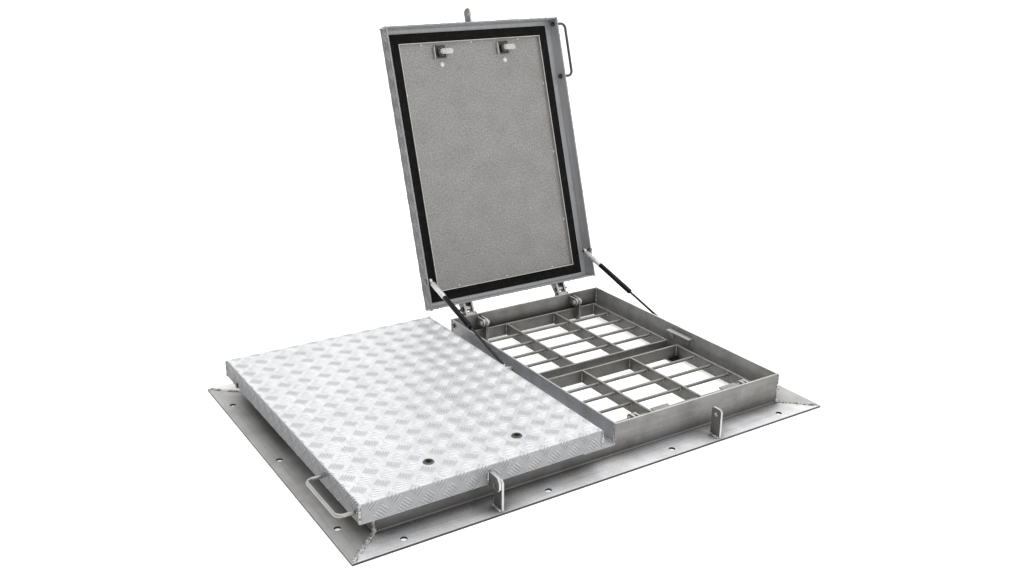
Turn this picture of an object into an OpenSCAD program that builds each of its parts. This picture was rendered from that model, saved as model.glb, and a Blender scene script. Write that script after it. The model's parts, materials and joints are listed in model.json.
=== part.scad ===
// Twin-leaf raised deck hatch: a welded aluminium flange and coaming with a drained gutter between
// two openings, two tread-plate lids on gas springs, and hinged fall grates below the lids.
// Millimetres. Origin: centre of the flange's underside. X across the front, +Y to the hinge side, +Z up.
// The left lid is drawn shut and the right lid is drawn open.

/* [Openings] */
// Clear width of each opening
opening_w = 600; // [520:10:760]
// Clear depth of each opening, front to rear
opening_d = 890; // [800:10:1100]

/* [Coaming] */
// Thickness of the coaming and gutter walls
wall_t = 5; // [4:0.5:6]
// Height of the coaming, from the flange's underside
coaming_h = 98; // [96:1:110]
// Half of the clear width of the gutter between the openings
gutter_half = 51; // [50:1:60]
// Height of the gutter floor's upper face
gutter_floor_z = 40; // [30:1:50]

/* [Flange] */
// Width of the flange at the front and the rear
flange_end = 88; // [86:1:120]
// Width of the flange at the sides
flange_side = 95; // [86:1:120]
// Thickness of the flange
flange_t = 6; // [4:1:8]
// Diameter of the bolt holes in the flange
bolt_hole_d = 18; // [11:1:20]
// Distance from the flange's outer edge to the bolt holes
bolt_edge = 30; // [20:1:36]
// Distance between the two end holes along the front and the rear
bolt_span_x = 1224; // [900:12:1260]
// Distance between the two end holes along each side
bolt_span_y = 774; // [600:2:900]

/* [Lids] */
// Thickness of the lid's plate and skirts
lid_t = 4; // [3:0.5:5]
// Height of the lid's skirts, over the plate
skirt_h = 53; // [50:1:60]
// Outer radius of the fold between plate and skirt
fold_r = 5; // [4.5:0.5:7]
// Distance from the hatch's middle to each lid
lid_gap = 19; // [16:1:22]
// How far the lid passes the coaming at its outer side
lid_side = 49; // [44:1:60]
// How far the lid passes the coaming at its front
lid_front = 36; // [30:1:40]
// How far the lid passes the coaming at its rear
lid_rear = 22; // [16:1:22]
// Angle that a lid opens
open_angle = 107; // [80:1:110]

/* [Seal and liner] */
// Width of the rubber seal
seal_w = 34; // [20:1:34]
// How far the seal passes the coaming at its rear
seal_rear = 3; // [1:1:12]
// Height of the rubber seal
seal_h = 13.7; // [12:0.1:18]
// Gap between the shut seal and the coaming
seal_gap = 0.3; // [0.2:0.1:1]
// Depth of the bright edge frame around the liner
edge_frame_h = 17; // [14:1:20]
// Thickness of the edge frame
edge_frame_t = 2; // [1.5:0.5:3]
// Thickness of the liner sheet
liner_t = 1.5; // [1:0.5:3]
// Thickness of the insulation between liner and lid
insulation_t = 5.5; // [4:0.5:10]

/* [Lid hinges] */
// Distance of the hinge axis behind the coaming
pivot_back = 67; // [60:1:70]
// Height of the hinge axis
pivot_z = 68; // [66:1:78]
// Distance of each lid hinge from the side of its opening
hinge_inset = 105; // [80:1:160]
// Diameter of the hinge bolts
hinge_bolt_d = 10; // [8:1:12]
// Distance between the middles of a hinge's two ears
ear_spacing = 30; // [28:1:50]
// Thickness of the lid's hinge ears
ear_t = 6; // [5:1:8]
// Radial running clearance of the hinges
running = 0.05; // [0.03:0.01:0.1]

/* [Gas springs] */
// Outer diameter of the gas spring's tube
tube_d = 18; // [15:1:20]
// Length of the tube
tube_l = 270; // [262:1:270]
// Diameter of the piston rod
rod_d = 8; // [6:1:10]
// Length of the piston rod, from its eye
rod_l = 281; // [276:1:281]
// Distance of the lid's stud in front of the hinge axis
stud_front = 142; // [138:1:146]
// Height of the lid's stud over the hinge axis
stud_rise = 3; // [1:1:6]
// Distance of the coaming's stud behind the hatch's middle
stud_rear = 68; // [64:1:70]
// Height of the coaming's stud
stud_z = 64; // [62:1:72]

/* [Locks] */
// Distance of each lock from the middle of its opening
lock_offset = 128; // [90:1:180]
// Distance of the locks behind the coaming's inner front face
lock_rear = 50; // [46:1:54]
// Diameter of the lock's cap on the lid
cap_d = 29; // [24:1:34]
// Length of the lock's cam from its axis
cam_l = 40; // [36:1:42]

/* [Padlock lugs] */
// Thickness of the padlock lugs
lug_t = 6; // [5:1:8]
// Diameter of the padlock holes
lug_hole_d = 11; // [9:1:12]
// Height of the padlock holes
lug_hole_z = 73; // [70:1:76]

/* [Handles] */
// Diameter of the handle's rod
handle_d = 10; // [8:1:12]
// Distance between the handle's legs
handle_span = 191; // [140:1:240]
// How far the handle stands out from the lid
handle_out = 51; // [45:1:60]

/* [Fall grates] */
// Height of the grate's flat bars
bar_h = 40; // [30:1:42]
// Thickness of the grate's flat bars
bar_t = 6; // [5:1:8]
// Diameter of the grate's cross rods
grate_rod_d = 10; // [6:1:12]
// Number of cross rods in each grate
grate_rods = 4; // [3:1:5]
// Gap between a grate's sides and the coaming
grate_side_gap = 24; // [22:1:30]
// Height of the grate's underside
grate_z = 9; // [8:1:12]

/* [Hidden] */
$fn = 48;
left = -1;
right = 1;

// Coaming and flange, seen from above
gutter_face = gutter_half + wall_t;
outer_face = gutter_face + opening_w;
coaming_x = outer_face + wall_t;
front_face = -opening_d / 2;
coaming_y = opening_d / 2 + wall_t;
flange_x = coaming_x + flange_side;
flange_y = coaming_y + flange_end;
opening_mid = gutter_face + opening_w / 2;
bolt_x = flange_x - bolt_edge;
bolt_y = flange_y - bolt_edge;

// Lid, shut
lid_x0 = lid_gap;
lid_x1 = coaming_x + lid_side;
lid_y0 = -coaming_y - lid_front;
lid_y1 = coaming_y + lid_rear;
lid_under = coaming_h + seal_gap + seal_h;
lid_top = lid_under + lid_t;
rim_z = lid_top - skirt_h;
seal_x0 = gutter_face - wall_t / 2 - seal_w / 2;
seal_x1 = outer_face + wall_t / 2 + seal_w / 2;
seal_y0 = wall_t / 2 - coaming_y - seal_w / 2;
seal_y1 = coaming_y + seal_rear;
liner_x0 = seal_x0 + seal_w;
liner_x1 = seal_x1 - seal_w;
liner_y0 = seal_y0 + seal_w;
liner_y1 = seal_y1 - seal_w;
liner_z = lid_under - insulation_t - liner_t;

// Hinges and gas springs
pivot_y = coaming_y + pivot_back;
hinge_xs = [gutter_face + hinge_inset, outer_face - hinge_inset];
barrel_d = 24;
barrel_l = ear_spacing - ear_t - 2;
lane_inner = lid_x0 + lid_t + 11;
lane_outer = (coaming_x + lid_x1 - lid_t) / 2;
eye_d = 16;
eye_l = 10;
eye_neck = 8;
neck_d = 8;
open_pivot_gap = 0.3;
spring_head_d = 13;

// Locks, lugs and handles
lock_y = front_face + lock_rear;
barrel_z = coaming_h - 11;
core_d = 18;
cam_t = 5;
cam_w = 18;
cam_z = barrel_z - 1 - cam_t;
strike_z = cam_z + cam_t + 2;
strike_w = 60;
strike_t = 4;
strike_l = 29;
lug_w = 38;
lug_y = lid_y0 - 29;
lug_gap = 3;
lug_corner = 10;
lug_top = lug_hole_z + 19;
handle_y = (lid_y0 + 20) + handle_span / 2;
handle_z = rim_z + 25;
handle_bend = 18;

// Fall grates
grate_x0 = gutter_face + grate_side_gap;
grate_x1 = outer_face - grate_side_gap;
grate_end = opening_d / 2 - 20;
rod_pitch = 78.5;
grate_rod_z = grate_z + 27;
rear_free_end = 15;
front_free_end = 30;
rear_rod = grate_end - 84;
front_rod = grate_end - 71.5;
rear_bars = [opening_mid - 104, opening_mid + 95];
front_bars = [opening_mid - 113, opening_mid + 76];
rear_hinges = [opening_mid - 200, opening_mid + 186];
front_hinges = [opening_mid - 218, opening_mid + 190];
grate_pivot_y = opening_d / 2 - 34;
grate_pivot_z = 76;
leg_t = 6;
leg_r = 13;
cheek_t = 6;
cheek_gap = 1;
grate_bolt_d = 8;
pad_w = 58;
pad_l = 46;
pad_gap = 24;
support_t = 4;

// ---- helpers ----

// Draws the children for the right hatch, or mirrored for the left one
module for_side(side) {
    mirror([side < 0 ? 1 : 0, 0, 0]) children();
}

// Puts a lid's shut parts where that lid stands: the left one shut, the right one open
module lid_pose(side) {
    if (side < 0) children();
    else translate([0, pivot_y, pivot_z]) rotate([-open_angle, 0, 0])
        translate([0, -pivot_y, -pivot_z]) children();
}

// Box between two corners
module block(low, high) {
    translate(low) cube(high - low);
}

// Cylinder along +X from x0 to x1, at (y, z)
module rod_x(x0, x1, y, z, d, sides = 48) {
    translate([x0, y, z]) rotate([0, 90, 0]) cylinder(d = d, h = x1 - x0, $fn = sides);
}

// Outline with its two upper corners rounded
module folded_outline(a0, a1, z0, z1, r) {
    translate([a0, z0]) square([a1 - a0, z1 - z0 - r]);
    translate([a0 + r, z0]) square([a1 - a0 - 2 * r, z1 - z0]);
    for (a = [a0 + r, a1 - r]) translate([a, z1 - r]) circle(r);
}

// Box whose upper edges are rounded along X and along Y
module folded_box(x0, x1, y0, y1, z0, z1, r) {
    intersection() {
        translate([0, y1, 0]) rotate([90, 0, 0])
            linear_extrude(y1 - y0) folded_outline(x0, x1, z0, z1, r);
        translate([x0, 0, 0]) rotate([90, 0, 90])
            linear_extrude(x1 - x0) folded_outline(y0, y1, z0, z1, r);
    }
}

// Plate in the Y-Z plane, from x0 to x1, with the 2D outline of its children
module side_plate(x0, x1) {
    translate([x0, 0, 0]) rotate([90, 0, 90]) linear_extrude(x1 - x0) children();
}

// Hexagon bolt along X: head at the low end, nut at the high end, gripping from x0 to x1
module hex_bolt(x0, x1, y, z, d) {
    rod_x(x0 - 0.65 * d, x0, y, z, 1.9 * d, 6);
    rod_x(x0, x1 + d, y, z, d);
    rod_x(x1, x1 + 0.8 * d, y, z, 1.9 * d, 6);
}

// ---- flange ----

module flange_bar_x(y_sign) {
    color("lightsteelblue") difference() {
        linear_extrude(flange_t) polygon([
            [-flange_x, y_sign * flange_y], [flange_x, y_sign * flange_y],
            [coaming_x, y_sign * coaming_y], [-coaming_x, y_sign * coaming_y]
        ]);
        for (i = [-3, -1, 1, 3]) translate([i * bolt_span_x / 6, y_sign * bolt_y, -1])
            cylinder(d = bolt_hole_d, h = flange_t + 2);
    }
}

module flange_bar_y(side) {
    color("lightsteelblue") difference() {
        linear_extrude(flange_t) polygon([
            [side * flange_x, -flange_y], [side * flange_x, flange_y],
            [side * coaming_x, coaming_y], [side * coaming_x, -coaming_y]
        ]);
        for (i = [-1, 0, 1]) translate([side * bolt_x, i * bolt_span_y / 2, -1])
            cylinder(d = bolt_hole_d, h = flange_t + 2);
    }
}

module flange_front() { flange_bar_x(-1); }
module flange_rear() { flange_bar_x(1); }
module flange_left() { flange_bar_y(left); }
module flange_right() { flange_bar_y(right); }

// ---- coaming ----

// Front or rear wall, cut down to the gutter floor between the openings
module coaming_end(y_sign) {
    y = y_sign * (coaming_y - wall_t / 2);
    color("silver") difference() {
        block([-coaming_x, y - wall_t / 2, 0], [coaming_x, y + wall_t / 2, coaming_h]);
        block([-gutter_half, y - wall_t, gutter_floor_z - wall_t], [gutter_half, y + wall_t, coaming_h + 1]);
    }
}

module coaming_side(side) {
    color("silver") for_side(side)
        block([outer_face, front_face, 0], [coaming_x, -front_face, coaming_h]);
}

module coaming_front() { coaming_end(-1); }
module coaming_rear() { coaming_end(1); }
module coaming_left() { coaming_side(left); }
module coaming_right() { coaming_side(right); }

// Two gutter walls and the floor between them, which runs out through both end walls
module gutter_channel() {
    color("silver") {
        for (side = [left, right]) for_side(side)
            block([gutter_half, front_face, 0], [gutter_face, -front_face, coaming_h]);
        block([-gutter_half, -coaming_y, gutter_floor_z - wall_t], [gutter_half, coaming_y, gutter_floor_z]);
    }
}

// ---- lid hinges ----

module hinge_bracket(x) {
    difference() {
        union() {
            rod_x(x - barrel_l / 2, x + barrel_l / 2, pivot_y, pivot_z, barrel_d);
            block([x - barrel_l / 2, pivot_y - 6, flange_t], [x + barrel_l / 2, pivot_y + 6, pivot_z]);
        }
        rod_x(x - barrel_l, x + barrel_l, pivot_y, pivot_z, hinge_bolt_d + 2 * running);
    }
}

module lid_hinge_brackets() {
    color("dimgray") for (side = [left, right], x = hinge_xs) for_side(side) hinge_bracket(x);
}

module lid_hinge_bolts() {
    grip = ear_spacing / 2 + ear_t / 2 + 0.5;
    color("#333333") for (side = [left, right], x = hinge_xs) for_side(side)
        hex_bolt(x - grip, x + grip, pivot_y, pivot_z, hinge_bolt_d);
}

// Two ears behind the lid's rear skirt, around the hinge axis
module hinge_ear_outline() {
    difference() {
        union() {
            translate([pivot_y, pivot_z]) circle(d = barrel_d);
            polygon([
                [lid_y1, rim_z + 2], [pivot_y, pivot_z - barrel_d / 2],
                [pivot_y, pivot_z + barrel_d / 2], [lid_y1, rim_z + 42]
            ]);
        }
        translate([pivot_y, pivot_z]) circle(d = hinge_bolt_d + 2 * running);
    }
}

module lid_hinge_ears(side) {
    color("gray") for_side(side) lid_pose(side) for (x = hinge_xs, i = [-1, 1])
        side_plate(x + i * ear_spacing / 2 - ear_t / 2, x + i * ear_spacing / 2 + ear_t / 2)
            hinge_ear_outline();
}

module left_lid_hinge_ears() { lid_hinge_ears(left); }
module right_lid_hinge_ears() { lid_hinge_ears(right); }

// ---- lids ----

module lid_pan(side) {
    color("gainsboro") for_side(side) lid_pose(side) difference() {
        folded_box(lid_x0, lid_x1, lid_y0, lid_y1, rim_z, lid_top, fold_r);
        folded_box(lid_x0 + lid_t, lid_x1 - lid_t, lid_y0 + lid_t, lid_y1 - lid_t,
            rim_z - 10, lid_under, fold_r - lid_t);
        for (i = [-1, 1]) {
            translate([opening_mid + i * lock_offset, lock_y, lid_under - 1])
                cylinder(d = core_d + 6, h = lid_t + 2);
            rod_x(lid_x1 - 2 * lid_t, lid_x1 + 1, handle_y + i * handle_span / 2, handle_z, handle_d);
        }
        rod_x(lid_x0 - 1, lid_x0 + lid_t + 1, pivot_y - stud_front, pivot_z + stud_rise, rod_d);
        rod_x(lid_x1 - lid_t - 1, lid_x1 + 1, pivot_y - stud_front, pivot_z + stud_rise, rod_d);
    }
}

module lid_seal(side) {
    color("#1a1a1a") for_side(side) lid_pose(side) difference() {
        block([seal_x0, seal_y0, lid_under - seal_h], [seal_x1, seal_y1, lid_under]);
        block([liner_x0, liner_y0, 0], [liner_x1, liner_y1, lid_top]);
    }
}

module lid_edge_frame(side) {
    color("whitesmoke") for_side(side) lid_pose(side) difference() {
        block([liner_x0, liner_y0, lid_under - edge_frame_h], [liner_x1, liner_y1, lid_under]);
        block([liner_x0 + edge_frame_t, liner_y0 + edge_frame_t, 0],
            [liner_x1 - edge_frame_t, liner_y1 - edge_frame_t, lid_top]);
    }
}

// Sheet inside the edge frame, from z to z + t, with the locks' holes
module lining(side, z, t) {
    for_side(side) lid_pose(side) difference() {
        block([liner_x0 + edge_frame_t, liner_y0 + edge_frame_t, z],
            [liner_x1 - edge_frame_t, liner_y1 - edge_frame_t, z + t]);
        for (i = [-1, 1]) translate([opening_mid + i * lock_offset, lock_y, z - 1])
            cylinder(d = cap_d + 3, h = t + 2);
    }
}

module lid_liner(side) { color("darkgray") lining(side, liner_z, liner_t); }
module lid_insulation(side) { color("khaki") lining(side, liner_z + liner_t, insulation_t); }

module left_lid_pan() { lid_pan(left); }
module left_lid_seal() { lid_seal(left); }
module left_lid_edge_frame() { lid_edge_frame(left); }
module left_lid_liner() { lid_liner(left); }
module left_lid_insulation() { lid_insulation(left); }
module right_lid_pan() { lid_pan(right); }
module right_lid_seal() { lid_seal(right); }
module right_lid_edge_frame() { lid_edge_frame(right); }
module right_lid_liner() { lid_liner(right); }
module right_lid_insulation() { lid_insulation(right); }

// ---- handles ----

// Bow of round rod: two legs through the skirt, two bends and a grip, with nuts inside the skirt
module lid_handle(side) {
    grip_x = lid_x1 + handle_out - handle_d / 2;
    bend_x = grip_x - handle_bend;
    color("silver") for_side(side) lid_pose(side) for (i = [-1, 1]) {
        y = handle_y + i * handle_span / 2;
        rod_x(lid_x1 - lid_t - 9, bend_x, y, handle_z, handle_d);
        rod_x(lid_x1 - lid_t - 8, lid_x1 - lid_t, y, handle_z, 1.8 * handle_d, 6);
        translate([bend_x, y - i * handle_bend, handle_z]) rotate([0, 0, i > 0 ? 0 : -90])
            rotate_extrude(angle = 90) translate([handle_bend, 0]) circle(d = handle_d);
        translate([grip_x, handle_y, handle_z]) rotate([-90 * i, 0, 0])
            cylinder(d = handle_d, h = handle_span / 2 - handle_bend);
    }
}

module left_lid_handle() { lid_handle(left); }
module right_lid_handle() { lid_handle(right); }

// ---- padlock lugs ----

// Upright lugs on the front flange, with rounded upper corners
module flange_lugs() {
    color("gray") for (x = [-opening_mid, opening_mid])
        side_plate(x - lug_t / 2, x + lug_t / 2) difference() {
            folded_outline(lug_y - lug_w / 2, lug_y + lug_w / 2, flange_t, lug_top, lug_corner);
            translate([lug_y, lug_hole_z]) circle(d = lug_hole_d);
        }
}

// Lug on the lid's front skirt, beside the flange lug
module lid_lug(side) {
    x = side * opening_mid - 1.5 * lug_t - lug_gap;
    low_z = rim_z - 1;
    high_z = lug_hole_z + 27;
    color("gray") lid_pose(side) side_plate(x, x + lug_t) difference() {
        polygon([
            [lid_y0, low_z], [lug_y - 14, low_z], [lug_y - 21, low_z + 8],
            [lug_y - 21, high_z - 12], [lug_y - 11, high_z], [lid_y0, high_z]
        ]);
        translate([lug_y, lug_hole_z]) circle(d = lug_hole_d);
    }
}

module left_lid_lug() { lid_lug(left); }
module right_lid_lug() { lid_lug(right); }

// ---- locks ----

// Cap on the lid and barrel through it, with a square plate against the liner
module lock_housings(side) {
    color("#4a4a4a") for_side(side) lid_pose(side) for (i = [-1, 1])
        translate([opening_mid + i * lock_offset, lock_y, 0]) difference() {
            union() {
                translate([0, 0, lid_top]) cylinder(d1 = cap_d, d2 = cap_d - 3, h = 2.5);
                translate([0, 0, liner_z]) cylinder(d = core_d + 6, h = lid_top - liner_z);
                translate([0, 0, barrel_z]) cylinder(d = cap_d, h = liner_z - barrel_z);
                block([-21.5, -25, liner_z - 3], [21.5, 20, liner_z]);
            }
            translate([0, 0, barrel_z - 1]) cylinder(d = core_d + 2 * running, h = skirt_h);
        }
}

// Turning core with a key slot
module lock_core(side, i) {
    color("black") for_side(side) lid_pose(side)
        translate([opening_mid + i * lock_offset, lock_y, 0]) difference() {
            translate([0, 0, barrel_z - 1]) cylinder(d = core_d, h = lid_top + 2 - barrel_z);
            block([-1.5, -5.5, lid_top - 8], [1.5, 5.5, lid_top + 3]);
        }
}

// Cam under the core, held by a screw; it points away from the gutter when it is unlocked
module lock_cam(side, i) {
    color("silver") for_side(side) lid_pose(side)
        translate([opening_mid + i * lock_offset, lock_y, cam_z]) {
            cylinder(d = cam_w, h = cam_t);
            block([0, -cam_w / 2, 0], [cam_l - cam_w / 2, cam_w / 2, cam_t]);
            translate([cam_l - cam_w / 2, 0, 0]) cylinder(d = cam_w, h = cam_t);
            translate([0, 0, -4]) cylinder(d = 10, h = 4, $fn = 6);
        }
}

module left_lock_housings() { lock_housings(left); }
module right_lock_housings() { lock_housings(right); }
module left_inner_lock_core() { lock_core(left, -1); }
module left_outer_lock_core() { lock_core(left, 1); }
module right_inner_lock_core() { lock_core(right, -1); }
module right_outer_lock_core() { lock_core(right, 1); }
module left_inner_lock_cam() { lock_cam(left, -1); }
module left_outer_lock_cam() { lock_cam(left, 1); }
module right_inner_lock_cam() { lock_cam(right, -1); }
module right_outer_lock_cam() { lock_cam(right, 1); }

// Ledges behind the front wall that the cams turn under
module strike_plates() {
    color("lightgray") for (side = [left, right], i = [-1, 1]) for_side(side)
        translate([opening_mid + i * lock_offset, front_face, strike_z])
            block([-strike_w / 2, 0, 0], [strike_w / 2, strike_l, strike_t]);
}

// ---- gas springs ----

// Position (y, z) of the lid's stud
function lid_stud(side) = side < 0
    ? [pivot_y - stud_front, pivot_z + stud_rise]
    : [pivot_y - stud_front * cos(open_angle) + stud_rise * sin(open_angle),
       pivot_z + stud_front * sin(open_angle) + stud_rise * cos(open_angle)];

// Slope of a gas spring, from the coaming's stud up to the lid's stud
function spring_slope(side) = let (s = lid_stud(side)) atan2(s[1] - stud_z, s[0] - stud_rear);

// Tube from the lid's stud, bored for the piston, with a gland round the rod
module spring_tube(side, lane) {
    s = lid_stud(side);
    gland = 14;
    color("#202020") for_side(side) translate([lane, s[0], s[1]])
        rotate([spring_slope(side), 0, 0]) difference() {
            union() {
                rod_x(-eye_l / 2, eye_l / 2, 0, 0, eye_d);
                translate([0, -1 - eye_d / 2 - eye_neck, 0]) rotate([-90, 0, 0])
                    cylinder(d = neck_d, h = eye_neck + 3);
                translate([0, -eye_d / 2 - eye_neck - tube_l, 0]) rotate([-90, 0, 0])
                    cylinder(d = tube_d, h = tube_l);
            }
            rod_x(-eye_l, eye_l, 0, 0, rod_d + 2 * running);
            translate([0, gland - eye_d / 2 - eye_neck - tube_l, 0]) rotate([-90, 0, 0])
                cylinder(d = tube_d - 4, h = tube_l - gland - 4);
            translate([0, -1 - eye_d / 2 - eye_neck - tube_l, 0]) rotate([-90, 0, 0])
                cylinder(d = rod_d + 0.6, h = gland + 2);
        }
}

// Rod with its piston, and an eye whose flat side faces the coaming's stud
module spring_rod(side, lane) {
    color("#404040") for_side(side) translate([lane, stud_rear, stud_z])
        rotate([spring_slope(side), 0, 0]) {
            rod_x(-eye_l / 2, eye_l / 2, 0, 0, eye_d);
            rotate([-90, 0, 0]) cylinder(d = rod_d, h = rod_l);
            translate([0, rod_l - 10, 0]) rotate([-90, 0, 0]) cylinder(d = tube_d - 4.6, h = 10);
        }
}

module left_inner_spring_tube() { spring_tube(left, lane_inner); }
module left_outer_spring_tube() { spring_tube(left, lane_outer); }
module right_inner_spring_tube() { spring_tube(right, lane_inner); }
module right_outer_spring_tube() { spring_tube(right, lane_outer); }
module left_inner_spring_rod() { spring_rod(left, lane_inner); }
module left_outer_spring_rod() { spring_rod(left, lane_outer); }
module right_inner_spring_rod() { spring_rod(right, lane_inner); }
module right_outer_spring_rod() { spring_rod(right, lane_outer); }

// Studs on the coaming; each ends just beside its rod's eye
module coaming_spring_studs() {
    color("dimgray") for (side = [left, right]) for_side(side) {
        inner_end = lane_inner + eye_l / 2 + open_pivot_gap;
        outer_end = lane_outer - eye_l / 2 - open_pivot_gap;
        rod_x(inner_end, gutter_half, stud_rear, stud_z, spring_head_d);
        rod_x(coaming_x, outer_end, stud_rear, stud_z, spring_head_d);
    }
}

// Studs through the lid's side skirts, with their heads outside
module lid_spring_studs(side) {
    y = pivot_y - stud_front;
    z = pivot_z + stud_rise;
    color("#2b2b2b") for_side(side) lid_pose(side) {
        rod_x(lid_x0 - 5, lid_x0, y, z, spring_head_d, 6);
        rod_x(lid_x0, lane_inner + eye_l / 2 + 2, y, z, rod_d);
        rod_x(lane_outer - eye_l / 2 - 2, lid_x1, y, z, rod_d);
        rod_x(lid_x1, lid_x1 + 5, y, z, spring_head_d, 6);
    }
}

module left_lid_spring_studs() { lid_spring_studs(left); }
module right_lid_spring_studs() { lid_spring_studs(right); }

// ---- small fittings on the coaming ----

module gutter_wall_bolts() {
    color("#2b2b2b") for (side = [left, right]) for_side(side)
        rod_x(gutter_half - 7, gutter_half, coaming_y - 22, coaming_h - 16, spring_head_d, 6);
}

// Folded keeper on the outer wall, with two bolt heads
module keeper_brackets() {
    color("lightgray") for (side = [left, right]) for_side(side) {
        block([outer_face - 3, -80, 48], [outer_face, 30, 80]);
        block([outer_face - 19, -80, 77], [outer_face, 30, 80]);
        for (y = [-62, 12]) rod_x(outer_face - 8, outer_face - 3, y, 60, 13, 6);
    }
}

// ---- fall grates ----

// One grate on the rear half of the right opening: flat bars, cross rods and two hinge legs.
// free_end and last_rod are distances from the hatch's middle; bars and hinges are X places.
module grate_body(free_end, last_rod, bars, hinges) {
    difference() {
        union() {
            for (x = [grate_x0, bars[0], bars[1], grate_x1 - bar_t])
                block([x, free_end, grate_z], [x + bar_t, grate_end, grate_z + bar_h]);
            for (y = [free_end, grate_end - bar_t])
                block([grate_x0, y, grate_z], [grate_x1, y + bar_t, grate_z + bar_h]);
            for (i = [0 : grate_rods - 1])
                rod_x(grate_x0, grate_x1, last_rod - i * rod_pitch, grate_rod_z, grate_rod_d);
            for (x = hinges) side_plate(x, x + leg_t) {
                translate([grate_pivot_y, grate_pivot_z]) circle(leg_r);
                translate([grate_end - bar_t - 2 * leg_r, grate_z])
                    square([2 * leg_r, grate_pivot_z - grate_z]);
            }
        }
        for (x = hinges)
            rod_x(x - 1, x + leg_t + 1, grate_pivot_y, grate_pivot_z, grate_bolt_d + 2 * running);
    }
}

module rear_grate(side) {
    color("darkslategray") for_side(side)
        grate_body(rear_free_end, rear_rod, rear_bars, rear_hinges);
}

module front_grate(side) {
    color("darkslategray") for_side(side) mirror([0, 1, 0])
        grate_body(front_free_end, front_rod, front_bars, front_hinges);
}

module left_front_grate() { front_grate(left); }
module left_rear_grate() { rear_grate(left); }
module right_front_grate() { front_grate(right); }
module right_rear_grate() { rear_grate(right); }

// Draws the children at each grate hinge, as for the rear wall of the right opening
module at_grate_hinges() {
    for (side = [left, right]) for_side(side) {
        for (x = rear_hinges) translate([x, 0, 0]) children();
        for (x = front_hinges) mirror([0, 1, 0]) translate([x, 0, 0]) children();
    }
}

// Two cheeks on the end wall, one on each side of a grate's leg
module grate_hinge_brackets() {
    color("gray") at_grate_hinges() for (x = [-cheek_gap - cheek_t, leg_t + cheek_gap])
        side_plate(x, x + cheek_t) difference() {
            union() {
                translate([grate_pivot_y, grate_pivot_z]) circle(leg_r);
                translate([grate_pivot_y, grate_pivot_z - leg_r])
                    square([opening_d / 2 - grate_pivot_y, 2 * leg_r]);
            }
            translate([grate_pivot_y, grate_pivot_z]) circle(d = grate_bolt_d + 2 * running);
        }
}

module grate_hinge_bolts() {
    reach = cheek_gap + cheek_t;
    color("#333333") at_grate_hinges()
        hex_bolt(-reach, leg_t + reach, grate_pivot_y, grate_pivot_z, grate_bolt_d);
}

// Draws the children at each support: mirrored at the gutter wall, plain at the outer wall
module at_supports() {
    for (side = [left, right]) for_side(side) {
        translate([outer_face, 0, 0]) children();
        translate([gutter_face, 0, 0]) mirror([1, 0, 0]) children();
    }
}

// Ledges on the side walls under the free ends of the grates
module grate_supports() {
    y = pad_gap / 2 + pad_l + 3;
    color("gray") at_supports() block([-pad_w - 4, -y, 0], [0, y, support_t]);
}

// Rubber pads on the ledges, one under each grate
module grate_pads() {
    color("#151515") at_supports() for (i = [-1, 1]) {
        y = i * (pad_gap + pad_l) / 2;
        block([-pad_w, y - pad_l / 2, support_t], [0, y + pad_l / 2, grate_z - 0.3]);
    }
}

flange_front();
flange_rear();
flange_left();
flange_right();
coaming_front();
coaming_rear();
coaming_left();
coaming_right();
gutter_channel();
lid_hinge_brackets();
lid_hinge_bolts();
flange_lugs();
strike_plates();
coaming_spring_studs();
gutter_wall_bolts();
keeper_brackets();
grate_supports();
grate_pads();
grate_hinge_brackets();
grate_hinge_bolts();
left_front_grate();
left_rear_grate();
right_front_grate();
right_rear_grate();
left_lid_pan();
left_lid_seal();
left_lid_edge_frame();
left_lid_liner();
left_lid_insulation();
left_lid_handle();
left_lid_lug();
left_lid_hinge_ears();
left_lid_spring_studs();
left_lock_housings();
right_lid_pan();
right_lid_seal();
right_lid_edge_frame();
right_lid_liner();
right_lid_insulation();
right_lid_handle();
right_lid_lug();
right_lid_hinge_ears();
right_lid_spring_studs();
right_lock_housings();
left_inner_lock_core();
left_outer_lock_core();
right_inner_lock_core();
right_outer_lock_core();
left_inner_lock_cam();
left_outer_lock_cam();
right_inner_lock_cam();
right_outer_lock_cam();
left_inner_spring_tube();
left_outer_spring_tube();
right_inner_spring_tube();
right_outer_spring_tube();
left_inner_spring_rod();
left_outer_spring_rod();
right_inner_spring_rod();
right_outer_spring_rod();
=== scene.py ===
"""Looks of a twin-leaf deck hatch: raised tread pattern, weld beads, fittings, metals and rubber.

Lengths are in metres. A lid's pieces are made in the shut lid's place on the right-hand side,
and then mirrored for the left lid or swung about the hinge for the right one, which stands open.
"""
import json
import math
import random

import bmesh
import bpy
from mathutils import Matrix, Vector


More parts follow.
